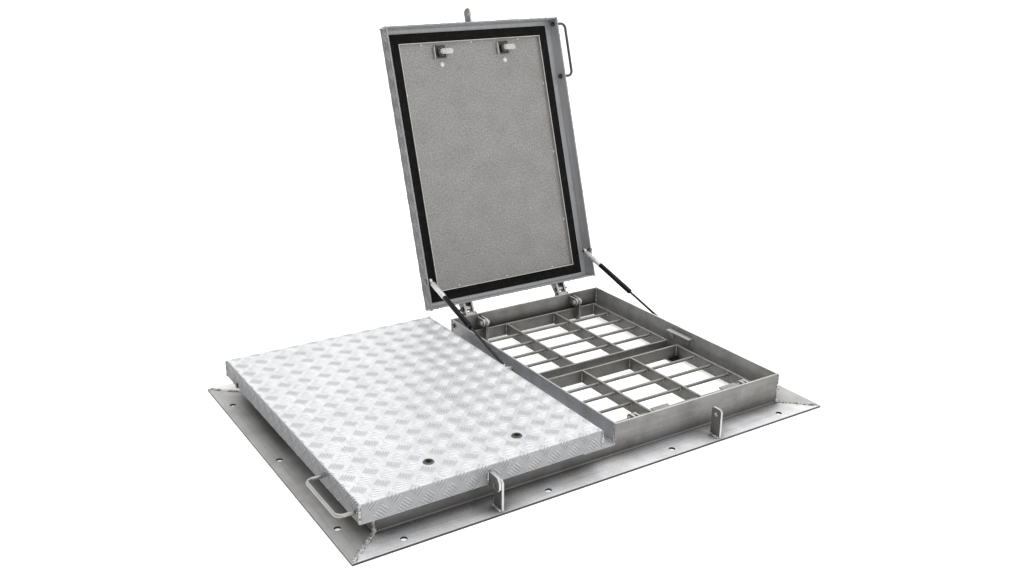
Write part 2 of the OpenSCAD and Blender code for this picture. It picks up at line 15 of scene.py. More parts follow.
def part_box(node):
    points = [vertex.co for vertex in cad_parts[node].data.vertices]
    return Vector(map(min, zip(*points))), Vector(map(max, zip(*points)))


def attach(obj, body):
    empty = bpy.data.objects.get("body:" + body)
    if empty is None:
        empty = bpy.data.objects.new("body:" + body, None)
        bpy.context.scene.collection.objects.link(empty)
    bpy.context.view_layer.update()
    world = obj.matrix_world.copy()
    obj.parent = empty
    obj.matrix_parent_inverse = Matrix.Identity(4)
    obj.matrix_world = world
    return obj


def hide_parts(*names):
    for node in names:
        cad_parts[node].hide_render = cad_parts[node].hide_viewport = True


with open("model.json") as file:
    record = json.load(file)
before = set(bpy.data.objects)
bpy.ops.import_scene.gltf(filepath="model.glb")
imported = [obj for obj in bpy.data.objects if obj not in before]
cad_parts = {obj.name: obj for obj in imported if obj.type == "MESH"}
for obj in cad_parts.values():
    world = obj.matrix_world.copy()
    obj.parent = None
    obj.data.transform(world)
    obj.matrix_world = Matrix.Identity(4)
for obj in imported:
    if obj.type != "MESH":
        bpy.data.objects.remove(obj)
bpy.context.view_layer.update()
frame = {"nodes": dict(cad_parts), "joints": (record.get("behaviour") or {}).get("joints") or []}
random.seed(11)

MM = 0.001
NODES = frame["nodes"]
JOINTS = {joint["name"]: joint for joint in frame["joints"]}
SIDES = {"left": -1, "right": 1}

# ---- places from the CAD frame ----

pan_low, pan_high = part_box("left_lid_pan")
LID_X0, LID_X1 = -pan_high.x, -pan_low.x
LID_Y0, LID_Y1 = pan_low.y, pan_high.y
RIM_Z, TOP_Z = pan_low.z, pan_high.z
SHEET_T = 4 * MM
FOLD_R = 5 * MM

seal_low, seal_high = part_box("left_lid_seal")
liner_low, liner_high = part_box("left_lid_edge_frame")
coaming_low, coaming_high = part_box("coaming_front")
COAMING_X = coaming_high.x
COAMING_Y = -coaming_low.y
COAMING_Z = coaming_high.z
flange_low, flange_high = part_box("flange_front")
FLANGE_X, FLANGE_Y, FLANGE_Z = flange_high.x, -flange_low.y, flange_high.z
WALL_T = 5 * MM
GUTTER_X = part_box("gutter_channel")[1].x
OPENING_MID = (GUTTER_X + COAMING_X - WALL_T) / 2
HINGE_XS = (161 * MM, 551 * MM)
EAR_MIDDLE, EAR_T = 15 * MM, 6 * MM
HANDLE_YS = (-466 * MM, -275 * MM)
HANDLE_Z = 88 * MM

# Grates: places along Y are distances from the hatch's middle, the front one being mirrored
grate_low, grate_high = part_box("right_rear_grate")
GRATE_X0, GRATE_X1 = grate_low.x, grate_high.x
GRATE_END, GRATE_Z = grate_high.y, grate_low.z
BAR_T = 6 * MM
BAR_H = 40 * MM
ROD_R = 5 * MM
ROD_RISE = 27 * MM
ROD_PITCH = 78.5 * MM
GRATE_RODS = 4
GRATES = {
    "rear": {"free": grate_low.y, "rod": GRATE_END - 84 * MM, "bars": (252 * MM, 451 * MM),
             "hinges": (156 * MM, 542 * MM)},
    "front": {"free": -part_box("right_front_grate")[1].y, "rod": GRATE_END - 71.5 * MM,
              "bars": (243 * MM, 432 * MM), "hinges": (138 * MM, 546 * MM)},
}
GRATE_BODIES = {("left", "front"): "frame", ("left", "rear"): "frame",
                ("right", "front"): "right_front_grate", ("right", "rear"): "right_rear_grate"}

hinge = JOINTS["right_lid_hinge"]
HINGE_POINT = Vector(hinge["pos_m"])
OPEN_TURN = math.radians(hinge["range_deg"][0])
LOCK_XS = [JOINTS[f"right_{end}_lock_turn"]["pos_m"][0] for end in ("inner", "outer")]
LOCK_Y = JOINTS["left_inner_lock_turn"]["pos_m"][1]
CAP_R = 14.5 * MM
RIGHT, DOWN = Vector((1, 0, 0)), Vector((0, 0, -1))


def lid_matrix(side):
    """From the shut right lid's place to where this side's lid stands."""
    if side < 0:
        return Matrix.Scale(-1, 4, (1, 0, 0))
    about = Matrix.Translation((0, HINGE_POINT.y, HINGE_POINT.z))
    return about @ Matrix.Rotation(OPEN_TURN, 4, "X") @ about.inverted()


def side_matrix(side):
    """From the right half of the hatch to this half."""
    return Matrix.Scale(-1, 4, (1, 0, 0)) if side < 0 else Matrix.Identity(4)


# ---- mesh building ----

class Shape:
    """Vertices and faces of one piece, gathered part by part."""

    def __init__(self):
        self.verts = []
        self.faces = []

    def add(self, verts, faces):
        start = len(self.verts)
        self.verts.extend(verts)
        self.faces.extend(tuple(start + i for i in face) for face in faces)

    def add_moved(self, part, matrix):
        self.add([matrix @ v for v in part.verts], part.faces)

    def loft(self, rings, loop=False):
        """Skin over rings of equal length. The ends are capped, or joined to each other for a loop."""
        n = len(rings[0])
        faces = []
        for k in range(len(rings) if loop else len(rings) - 1):
            a, b = k * n, (k + 1) % len(rings) * n
            faces += [(a + i, a + (i + 1) % n, b + (i + 1) % n, b + i) for i in range(n)]
        if not loop:
            last = (len(rings) - 1) * n
            faces += [tuple(reversed(range(n))), tuple(range(last, last + n))]
        self.add([v for ring in rings for v in ring], faces)

    def turned(self, origin, axis, profile, sides=24, hollow=False):
        """Solid of revolution. The profile is (distance along the axis, radius), and closes on itself
        when the solid is hollow."""
        u, v, w = axes(axis)
        rings = []
        for along, radius in profile:
            centre = origin + w * along
            rings.append([centre + (u * math.cos(a) + v * math.sin(a)) * radius for a in circle(sides)])
        self.loft(rings, loop=hollow)

    def bead(self, path, radius, closed=False, flat=1.0, sides=8, rough=0.07):
        """Weld bead: an uneven, scalloped tube along a path, half sunk in the metal."""
        points = resample(path, SCALLOP / 2, closed)
        rings = []
        for k, point in enumerate(points):
            before = points[k - 1] if k or closed else point
            after = points[(k + 1) % len(points)] if k + 1 < len(points) or closed else point
            u, v, _ = axes(after - before)
            r = radius * (0.9 + 0.16 * (k % 2) + random.uniform(-rough, rough))
            if not closed and k in (0, len(points) - 1):
                r *= 0.5
            drift = (u * random.uniform(-1, 1) + v * random.uniform(-1, 1)) * radius * rough
            rings.append([point + drift + u * math.cos(a) * r + v * math.sin(a) * r * flat
                          for a in circle(sides)])
        self.loft(rings, loop=closed)

    def hexagon(self, origin, axis, across, height, chamfer=0.12):
        """Hexagon head or nut with its corners chamfered at both ends."""
        u, v, w = axes(axis)
        r = across / math.sqrt(3)
        rings = []
        shares = ((0, 0.9), (chamfer * height, 1), ((1 - chamfer) * height, 1), (height, 0.88))
        for along, share in shares:
            rings.append([origin + w * along + (u * math.cos(a) + v * math.sin(a)) * r * share
                          for a in circle(6)])
        self.loft(rings)

    def strip(self, rect, profile):
        """Bar that follows a rectangle with mitred corners. The profile is (inward, z) pairs."""
        x0, x1, y0, y1 = rect
        corners = ((x0, y0, 1, 1), (x1, y0, -1, 1), (x1, y1, -1, -1), (x0, y1, 1, -1))
        self.loft([[Vector((x + sx * d, y + sy * d, z)) for d, z in profile]
                   for x, y, sx, sy in corners], loop=True)

    def piece(self, name, body, slot, material, matrix=None, sharp=35):
        """The finished object, riding on its body."""
        mesh = bpy.data.meshes.new(name)
        mesh.from_pydata([tuple(v) for v in self.verts], [], self.faces)
        if matrix is not None:
            mesh.transform(matrix)
        work = bmesh.new()
        work.from_mesh(mesh)
        bmesh.ops.recalc_face_normals(work, faces=work.faces)
        work.to_mesh(mesh)
        work.free()
        mesh.shade_smooth()
        mesh.set_sharp_from_angle(angle=math.radians(sharp))
        mesh.materials.append(material)
        obj = bpy.data.objects.new(name, mesh)
        bpy.context.scene.collection.objects.link(obj)
        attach(obj, body)
        return obj


SCALLOP = 3.2 * MM


def circle(sides):
    """Angles of equal steps round a circle."""
    return [2 * math.pi * i / sides for i in range(sides)]


def axes(direction):
    """Two unit vectors across a direction, and the direction's own unit vector."""
    w = Vector(direction).normalized()
    helper = Vector((0, 0, 1)) if abs(w.z) < 0.9 else Vector((1, 0, 0))
    u = helper.cross(w).normalized()
    return u, w.cross(u), w


def resample(path, step, closed=False):
    """Points along a polyline, about one step apart."""
    path = [Vector(p) for p in path]
    if closed:
        path.append(path[0])
    points = []
    for a, b in zip(path, path[1:]):
        count = max(1, round((b - a).length / step))
        points += [a.lerp(b, i / count) for i in range(count)]
    return points if closed else points + [path[-1]]


def ring_path(centre, axis, radius, sides=14):
    """Circle of points round an axis."""
    u, v, _ = axes(axis)
    return [centre + (u * math.cos(a) + v * math.sin(a)) * radius for a in circle(sides)]


def lid_piece(shape, side_name, part, slot, look, sharp=35):
    """The shape as a piece of this side's lid."""
    return shape.piece(f"{side_name}_{part}", f"{side_name}_lid", slot, look,
                       lid_matrix(SIDES[side_name]), sharp)


# ---- materials ----

class Look:
    """Procedural material: one shader with textures in the object's own coordinates."""

    def __init__(self, name, rough, metallic=1.0, turn=0.0):
        self.mat = bpy.data.materials.new(name)
        self.mat.use_nodes = True
        self.tree = self.mat.node_tree
        self.tree.nodes.clear()
        self.out = self.tree.nodes.new("ShaderNodeOutputMaterial")
        self.shader = self.tree.nodes.new("ShaderNodeBsdfPrincipled")
        self.shader.inputs["Metallic"].default_value = metallic
        self.shader.inputs["Roughness"].default_value = rough
        self.tree.links.new(self.shader.outputs["BSDF"], self.out.inputs["Surface"])
        self.turn = turn

    def node(self, kind, **values):
        made = self.tree.nodes.new(kind)
        for key, value in values.items():
            if hasattr(made, key):
                setattr(made, key, value)
            else:
                made.inputs[key.replace("_", " ")].default_value = value
        return made

    def join(self, source, target):
        self.tree.links.new(source, target)

    def place(self, scale):
        """The object's own coordinates, turned with the open lid and stretched."""
        turned = self.node("ShaderNodeMapping", vector_type="POINT")
        turned.inputs["Rotation"].default_value = (-self.turn, 0, 0)
        self.join(self.coordinates("Object"), turned.inputs["Vector"])
        stretched = self.node("ShaderNodeMapping", vector_type="POINT")
        stretched.inputs["Scale"].default_value = scale
        self.join(turned.outputs["Vector"], stretched.inputs["Vector"])
        return stretched.outputs["Vector"]

    def noise(self, scale, stretch=(1, 1, 1), detail=4.0, rough=0.55, distortion=0.0):
        """Noise factor. A scale of 1 has features of about a metre."""
        made = self.node("ShaderNodeTexNoise", Scale=scale, Detail=detail, Roughness=rough,
                         Distortion=distortion)
        self.join(self.place(stretch), made.inputs["Vector"])
        return made.outputs["Fac"]

    def ramp(self, source, low, high, low_at=0.3, high_at=0.7):
        """Maps a factor to a value or a colour between two positions."""
        made = self.node("ShaderNodeValToRGB")
        for element, at, value in ((made.color_ramp.elements[0], low_at, low),
                                   (made.color_ramp.elements[1], high_at, high)):
            element.position = at
            element.color = (*value, 1) if isinstance(value, tuple) else (value, value, value, 1)
        self.join(source, made.inputs["Fac"])
        return made.outputs["Color"]

    def mix(self, factor, first, second, blend="MIX"):
        made = self.node("ShaderNodeMix", data_type="RGBA", blend_type=blend)
        sockets = (made.inputs[0], made.inputs[6], made.inputs[7])
        for socket, value in zip(sockets, (factor, first, second)):
            if isinstance(value, bpy.types.NodeSocket):
                self.join(value, socket)
            elif isinstance(value, tuple):
                socket.default_value = (*value, 1)
            else:
                socket.default_value = value
        return made.outputs[2]

    def dot(self, first, second):
        """Dot product of a direction's socket and another socket or a fixed direction."""
        made = self.node("ShaderNodeVectorMath", operation="DOT_PRODUCT")
        self.join(first, made.inputs[0])
        if isinstance(second, bpy.types.NodeSocket):
            self.join(second, made.inputs[1])
        else:
            made.inputs[1].default_value = second
        return made.outputs["Value"]

    def coordinates(self, kind):
        """The object's own place ("Object") or outward direction ("Normal")."""
        return self.node("ShaderNodeTexCoord").outputs[kind]

    def edges(self, radius):
        """1 on the convex and concave edges of the object, 0 on its faces."""
        bevel = self.node("ShaderNodeBevel", samples=4, Radius=radius)
        geometry = self.node("ShaderNodeNewGeometry")
        turn = self.dot(bevel.outputs["Normal"], geometry.outputs["Normal"])
        return self.ramp(turn, 1.0, 0.0, 0.9, 0.995)

    def corners(self, distance):
        """0 deep in the corners between parts, 1 on open faces."""
        made = self.node("ShaderNodeAmbientOcclusion", samples=6, Distance=distance)
        return made.outputs["AO"]

    def facing(self):
        """1 where a lid's surface faces out of its plate, 0 on its skirts and inside."""
        return self.dot(self.coordinates("Normal"), (0, -math.sin(self.turn), math.cos(self.turn)))

    def leftward(self):
        """1 on the faces that look to the hatch's left, 0 on the others."""
        return self.dot(self.coordinates("Normal"), (-1, 0, 0))

    def sideways(self):
        """1 on the faces across X, on either side, 0 on the others."""
        made = self.node("ShaderNodeMath", operation="ABSOLUTE")
        self.join(self.leftward(), made.inputs[0])
        return made.outputs["Value"]

    def inside(self, centre):
        """1 on the faces that look towards a hollow part's centre, 0 on its outer faces."""
        offset = self.node("ShaderNodeVectorMath", operation="SUBTRACT")
        self.join(self.coordinates("Object"), offset.inputs[0])
        offset.inputs[1].default_value = centre
        below = self.node("ShaderNodeMath", operation="LESS_THAN")
        self.join(self.dot(offset.outputs["Vector"], self.coordinates("Normal")), below.inputs[0])
        below.inputs[1].default_value = 0.0
        return below.outputs["Value"]

    def colour(self, source):
        self.join(source, self.shader.inputs["Base Color"])

    def roughness(self, source):
        self.join(source, self.shader.inputs["Roughness"])

    def bump(self, source, distance, strength=1.0, bevel=0.0):
        """Relief of a factor, this deep, over rounded edges."""
        made = self.node("ShaderNodeBump", Distance=distance, Strength=strength)
        self.join(source, made.inputs["Height"])
        if bevel:
            rounded = self.node("ShaderNodeBevel", samples=4, Radius=bevel)
            self.join(rounded.outputs["Normal"], made.inputs["Normal"])
        self.join(made.outputs["Normal"], self.shader.inputs["Normal"])


EDGE_R = 1.6 * MM
# Painted shade on the inner faces of hollow lid parts, as a share of the full tone.
INNER_SHADE_TONE = 0.67


def rolled_metal(name, base, rough, streak=(1, 1, 1), turn=0.0, stain=0.1, streaks=0.08, speckle=0.08,
                 tint=(0.95, 0.92, 0.88), edge=0.18, bevel=0.6 * MM, soot_and_shade=0.6, skirts=None, metallic=0.5,
                 hollow=None, reach=25 * MM, left=None, broad_shade=None, fade=(0.35, 0.9)):
    """Sheet or bar metal: rolling streaks, faint stains, fine speckle, painted shade in its corners and
    on faces turned from the light, and edges lightened partly by wear and partly as painted highlight.

    soot_and_shade: how dark the painted shade in the corners gets, within the reach; fade: where the
    painted shade is full and where it ends
    skirts: painted shade, how light the faces that do not face up are
    hollow: the centre of a hollow part, whose inner faces keep most of the full tone under a painted
    shade of INNER_SHADE_TONE
    left: painted shade, how light its outer faces on the left are
    broad_shade: painted shade, how light a plate's broad faces are beside its lighter edges
    edge: how much lighter its edges get, partly wear and partly painted highlight"""
    look = Look(name, rough, metallic, turn)
    dark = tuple(c * (1 - stain) * t for c, t in zip(base, tint))
    tone = look.ramp(look.noise(14, detail=8, rough=0.65), dark, base, 0.36, 0.6)
    lines = look.noise(150, streak, detail=3)
    specks = look.noise(420, detail=5, rough=0.75)
    for source, depth in ((lines, streaks), (specks, speckle)):
        tone = look.mix(1.0, tone, look.ramp(source, 1 - depth, 1 + depth, 0.32, 0.68), "MULTIPLY")
    # Painted shade: the faces that do not face up, the outer faces on the left and the inner faces of
    # hollow parts are made darker, as if turned from the light.
    if skirts is not None:
        shade = look.ramp(look.facing(), skirts, 1.0, 0.3, 0.9)
        if left is not None:
            shade = look.mix(1.0, shade, look.ramp(look.leftward(), 1.0, left, 0.3, 0.9), "MULTIPLY")
        if hollow is not None:
            shade = look.mix(look.inside(hollow), shade, (INNER_SHADE_TONE,) * 3)
        tone = look.mix(1.0, tone, shade, "MULTIPLY")
    # Painted shade on the broad faces across X, beside the lighter edges.
    if broad_shade is not None:
        tone = look.mix(1.0, tone, look.ramp(look.sideways(), 1.0, broad_shade, 0.5, 0.9), "MULTIPLY")
    # Edges lightened: partly wear, partly painted highlight.
    tone = look.mix(look.edges(EDGE_R), tone, tuple(min(1, c * (1 + edge) + 0.02) for c in base))
    # Painted shade: darker where the occlusion finds corners, gaps between parts and overhangs.
    corner_shade = look.ramp(look.corners(reach), 1 - soot_and_shade, 1.0, *fade)
    look.colour(look.mix(1.0, tone, corner_shade, "MULTIPLY"))
    spread = look.ramp(look.noise(40, detail=6), rough - 0.05, rough + 0.07, 0.35, 0.65)
    fine = look.ramp(lines, 0.92, 1.08, 0.3, 0.7)
    look.roughness(look.mix(1.0, spread, fine, "MULTIPLY"))
    look.bump(look.mix(0.5, lines, specks), 0.08 * MM, 0.6, bevel)
    return look.mat


def cast_rubber(name, base=(0.009, 0.009, 0.009), rough=0.75, turn=0.0):
    """Matt black rubber with dust in its pores."""
    look = Look(name, rough, 0.0, turn)
    dust = look.noise(60, detail=6, rough=0.7)
    look.shader.inputs["Specular IOR Level"].default_value = 0.12
    look.colour(look.mix(look.ramp(dust, 0.0, 0.3, 0.5, 0.8), base, (0.05, 0.048, 0.045)))
    look.roughness(look.ramp(look.noise(35), rough - 0.1, rough + 0.1))
    look.bump(look.noise(1400, detail=3), 0.12 * MM, 0.7, 0.8 * MM)
    return look.mat


def gloss_paint(name, base, rough=0.28):
    """Gloss enamel with a faint orange peel and handling marks."""
    look = Look(name, rough, 0.0)
    look.shader.inputs["Coat Weight"].default_value = 0.05
    look.shader.inputs["Specular IOR Level"].default_value = 0.16
    look.shader.inputs["Coat Roughness"].default_value = 0.12
    marks = look.noise(70, (1, 1, 1), detail=6, rough=0.65)
    look.colour(look.mix(look.ramp(marks, 0.0, 0.25, 0.55, 0.8), base, (0.05, 0.05, 0.05)))
    look.roughness(look.ramp(marks, rough - 0.05, rough + 0.15))
    look.bump(look.noise(260, detail=2), 0.05 * MM, 0.4, 0.5 * MM)
    return look.mat


def weld_metal(name, base, tint, turn=0.0):
    """Bright weld metal with straw and brown heat tint in patches."""
    look = Look(name, 0.32, 0.4, turn)
    heat = look.noise(34, detail=4)
    tinted = look.mix(look.ramp(heat, 0.0, 0.7, 0.5, 0.75), base, tint)
    soot_and_shade = look.noise(170, detail=4, rough=0.7)
    look.colour(look.mix(look.ramp(soot_and_shade, 0.0, 0.85, 0.46, 0.58), tinted, (0.09, 0.085, 0.08)))
    look.roughness(look.ramp(soot_and_shade, 0.24, 0.5))
    look.bump(look.noise(800, detail=2), 0.15 * MM, 0.6)
    return look.mat


def stucco_sheet(name, turn):
    """Liner sheet: a fine dull grain with smudges, and a painted highlight on its edges."""
    look = Look(name, 0.5, 0.5, turn)
    clouds = look.noise(12, detail=8, rough=0.65)
    base = look.ramp(clouds, (0.268, 0.262, 0.252), (0.305, 0.299, 0.289), 0.35, 0.65)
    flecks = look.noise(170, detail=6, rough=0.85)
    grained = look.mix(1.0, base, look.ramp(flecks, 0.60, 1.35, 0.38, 0.62), "MULTIPLY")
    # Painted highlight: the sheet's edges are lightened.
    look.colour(look.mix(look.edges(1.5 * MM), grained, (0.7, 0.69, 0.67)))
    look.roughness(look.ramp(flecks, 0.42, 0.62))
    look.bump(flecks, 0.25 * MM, 0.7, 0.5 * MM)
    return look.mat


def foam(name, turn):
    """Pale insulation foam with open cells."""
    look = Look(name, 0.9, 0.0, turn)
    cells = look.node("ShaderNodeTexVoronoi", Scale=500.0)
    look.join(look.place((1, 1, 1)), cells.inputs["Vector"])
    look.colour(look.ramp(cells.outputs["Distance"], (0.72, 0.66, 0.46), (0.80, 0.75, 0.58), 0.1, 0.5))
    look.bump(cells.outputs["Distance"], 0.3 * MM, 0.8)
    return look.mat


ALONG_X, ALONG_Y, ALONG_Z = (0.03, 1, 1), (1, 0.03, 1), (1, 1, 0.03)
# The rising bars' light tone and the falling bars' dark tone are painted light and painted shade on one
# metal.
BAR_KINDS, BAR_LIT_AND_SHADED_TONES = ("rising", "falling"), (0.98, 0.63)
turns = {"left": 0.0, "right": OPEN_TURN}
# Painted light and shade set by the values below: skirts, left, broad_shade and soot_and_shade darken
# faces turned from the light and faces in corners, gaps and overhangs; edge lightens edges, partly as
# wear and partly as painted highlight. The front and rear flanges are lighter than the side ones: one
# metal under painted light and shade.
flange_x_look = rolled_metal(
    "flange_brushed_x", (0.88, 0.89, 0.92), 0.5, ALONG_X, skirts=0.22, metallic=0.3, soot_and_shade=0.92,
    reach=85 * MM, fade=(0.50, 0.93))
flange_y_look = rolled_metal(
    "flange_brushed_y", (0.52, 0.522, 0.52), 0.48, ALONG_Y, skirts=0.3, metallic=0.4, soot_and_shade=0.95,
    reach=75 * MM)
# The front and rear coaming walls are darker than the side ones: one metal under painted light and
# shade.
coaming_x_look = rolled_metal(
    "coaming_brushed_x", (0.66, 0.653, 0.638), 0.5, ALONG_X, stain=0.22, skirts=0.446, edge=0.05,
    metallic=0.4, soot_and_shade=0.9, reach=60 * MM)
coaming_y_look = rolled_metal(
    "coaming_brushed_y", (0.92, 0.92, 0.91), 0.5, ALONG_Y, stain=0.22, skirts=0.36, metallic=0.4)
# The fillet's dark base and its corner darkening are painted shade along the coaming's foot.
fillet_shade_look = rolled_metal(
    "coaming_fillet_painted_shade", (0.27, 0.267, 0.26), 0.5, ALONG_X, soot_and_shade=0.9, reach=60 * MM)
gutter_look = rolled_metal(
    "gutter_brushed", (0.60, 0.61, 0.64), 0.46, ALONG_Y, stain=0.2, soot_and_shade=0.4, skirts=0.85)
grate_look = rolled_metal(
    "grate_metal", (0.38, 0.373, 0.355), 0.5, ALONG_X, stain=0.2, edge=0.9, skirts=0.40)
bracket_look = rolled_metal(
    "bracket_metal", (0.62, 0.615, 0.60), 0.42, ALONG_Z, stain=0.25, edge=0.3, broad_shade=0.38, metallic=0.4)
support_look = rolled_metal(
    "support_metal", (0.24, 0.237, 0.23), 0.42, ALONG_Z, stain=0.3, edge=2.0, metallic=0.4)
keeper_look = rolled_metal(
    "keeper_zinc", (0.84, 0.84, 0.82), 0.4, ALONG_Y, stain=0.1, edge=0.1, skirts=0.45)
strike_look = rolled_metal("strike_plate", (0.36, 0.365, 0.37), 0.45, ALONG_X, stain=0.2, edge=0.3)
lug_look = rolled_metal(
    "lug_metal", (0.64, 0.64, 0.635), 0.4, ALONG_Z, stain=0.2, edge=0.2, broad_shade=0.28, metallic=0.4)
bolt_look = rolled_metal("bolt_zinc", (0.13, 0.125, 0.12), 0.34, stain=0.4, edge=1.6, metallic=0.8)
# The two handle rods are one metal; the open lid's darker base is painted shade.
handle_look = rolled_metal("handle_rod", (0.40, 0.40, 0.39), 0.3, ALONG_Y, metallic=0.8)
shaded_open_handle_look = rolled_metal("open_handle_rod_painted_shade", (0.10, 0.10, 0.097), 0.3, ALONG_Y, metallic=0.8)
pad_look = cast_rubber("pad_rubber")
tube_look = gloss_paint("spring_enamel", (0.004, 0.004, 0.0045), 0.22)
rod_look = rolled_metal(
    "spring_rod_black", (0.03, 0.03, 0.032), 0.25, ALONG_Y, streaks=0.03, metallic=0.6)
bright_look = rolled_metal(
    "bright_fitting", (0.70, 0.705, 0.72), 0.3, edge=0.1, stain=0.05, metallic=0.35, soot_and_shade=0.7,
    reach=12 * MM)
core_look = gloss_paint("lock_core_black", (0.015, 0.015, 0.015), 0.3)
cam_look = rolled_metal(
    "cam_zinc", (0.62, 0.615, 0.60), 0.3, stain=0.3, speckle=0.2, edge=0.5, metallic=0.5)
lock_look = rolled_metal(
    "lock_housing_steel", (0.09, 0.087, 0.08), 0.36, stain=0.3, edge=3.5, metallic=0.6)
weld_look = weld_metal("weld_bead", (0.70, 0.70, 0.69), (0.30, 0.27, 0.23))
grate_weld_look = weld_metal("grate_weld", (0.36, 0.355, 0.34), (0.20, 0.17, 0.13))
lid_looks = {}
lid_middle = Vector(((LID_X0 + LID_X1) / 2, (LID_Y0 + LID_Y1) / 2, (RIM_Z + TOP_Z) / 2))
for side_name, turn in turns.items():
    is_open = side_name == "right"
    # Painted shade: the open lid's skirts and inner faces are made darker than the shut lid's.
    pan_skirt_shade, bar_skirt_shade = (0.305, 0.27) if is_open else (0.45, 0.414)
    lid_looks[side_name] = {
        "pan": rolled_metal(
            f"{side_name}_tread_plate", (0.76, 0.765, 0.775), 0.45, ALONG_Y, turn, 0.05,
            tint=(0.95, 0.955, 0.965), skirts=pan_skirt_shade, left=0.56, soot_and_shade=0.9, reach=5 * MM,
            hollow=lid_matrix(SIDES[side_name]) @ lid_middle),
        "bars": [rolled_metal(
            f"{side_name}_tread_bars_{kind}", (tone, tone, tone + 0.01), 0.36, ALONG_Y, turn, 0.03,
            streaks=0.03, tint=(0.96, 0.965, 0.97), edge=0.02, bevel=0.0, skirts=bar_skirt_shade / tone,
            left=0.56, soot_and_shade=0.9, reach=4 * MM)
                 for kind, tone in zip(BAR_KINDS, BAR_LIT_AND_SHADED_TONES)],
        "edge_frame": rolled_metal(f"{side_name}_edge_frame", (0.62, 0.615, 0.60), 0.36, ALONG_Y, turn),
        "liner": stucco_sheet(f"{side_name}_liner_sheet", turn),
        "insulation": foam(f"{side_name}_insulation_foam", turn),
        "seal": cast_rubber(f"{side_name}_seal_rubber", (0.006, 0.006, 0.006), 0.85, turn),
        "weld": weld_metal(f"{side_name}_lid_weld", (0.60, 0.60, 0.58), (0.27, 0.24, 0.20), turn),
    }

node_looks = {
    "flange_front": flange_x_look, "flange_rear": flange_x_look,
    "flange_left": flange_y_look, "flange_right": flange_y_look,
    "coaming_front": coaming_x_look, "coaming_rear": coaming_x_look,
    "coaming_left": coaming_y_look, "coaming_right": coaming_y_look,
    "gutter_channel": gutter_look, "lid_hinge_brackets": bracket_look,
    "lid_hinge_bolts": bolt_look, "flange_lugs": lug_look, "strike_plates": strike_look,
    "coaming_spring_studs": bright_look, "gutter_wall_bolts": bolt_look,
    "keeper_brackets": keeper_look, "grate_supports": support_look, "grate_pads": pad_look,
    "grate_hinge_brackets": bracket_look, "grate_hinge_bolts": bolt_look,
}
for side_name in SIDES:
    for part in ("pan", "edge_frame", "liner", "insulation", "seal"):
        node_looks[f"{side_name}_lid_{part}"] = lid_looks[side_name][part]
    node_looks.update({
        f"{side_name}_lid_handle": shaded_open_handle_look if side_name == "right" else handle_look,
        f"{side_name}_lid_lug": lug_look, f"{side_name}_lid_hinge_ears": bracket_look,
        f"{side_name}_lid_spring_studs": bolt_look, f"{side_name}_lock_housings": lock_look,
        f"{side_name}_front_grate": grate_look, f"{side_name}_rear_grate": grate_look,
    })
    for end in ("inner", "outer"):
        for part, look in (("lock_core", core_look), ("lock_cam", cam_look),
                           ("spring_tube", tube_look), ("spring_rod", rod_look)):
            node_looks[f"{side_name}_{end}_{part}"] = look

for node_name, look in node_looks.items():
    materials = NODES[node_name].data.materials
    materials.clear()
    materials.append(look)


# ---- tread pattern ----

GROUP_PITCH_X, GROUP_PITCH_Y = 60.6 * MM, 63.8 * MM
GROUP_X, GROUP_Y = 290.7 * MM, -329.7 * MM
GROUPS_X, GROUPS_Y = range(-8, 9), range(-8, 18)
BARS_IN_GROUP = 5
BAR_PITCH = 7.4 * MM
TREAD_L, TREAD_W, TREAD_H = 30 * MM, 5.4 * MM, 1.7 * MM
STATIONS = (-0.78, -0.42, 0.0, 0.42, 0.78)
SINK = 0.3 * MM
DIAGONAL = math.sqrt(0.5)
CAP_GAP = TREAD_L / 2 - 3 * MM


def fold(s, low, high):
    """A flat-sheet coordinate as (place across the lid, drop below its top, tilt) on the folded lid."""
    inner = low + FOLD_R if s < (low + high) / 2 else high - FOLD_R
    sign = -1 if s < (low + high) / 2 else 1
    past = (s - inner) * sign
    if past <= 0:
        return s, 0.0, 0.0
    arc = FOLD_R * math.pi / 2
    if past < arc:
        tilt = past / FOLD_R
        return inner + sign * FOLD_R * math.sin(tilt), FOLD_R * (1 - math.cos(tilt)), sign * tilt
    drop = min(FOLD_R + past - arc, TOP_Z - RIM_Z - SINK)
    return inner + sign * FOLD_R, drop, sign * math.pi / 2


def on_sheet(u, v, height):
    """Point at a height over the folded sheet, or None in a corner notch."""
    x, drop_x, tilt_x = fold(u, LID_X0, LID_X1)
    y, drop_y, tilt_y = fold(v, LID_Y0, LID_Y1)
    if tilt_x and tilt_y:
        return None
    tilt = tilt_x or tilt_y
    out, up = math.sin(tilt) * height, math.cos(abs(tilt)) * height
    return Vector((x + (out if tilt_x else 0), y + (out if tilt_y else 0), TOP_Z - drop_x - drop_y + up))


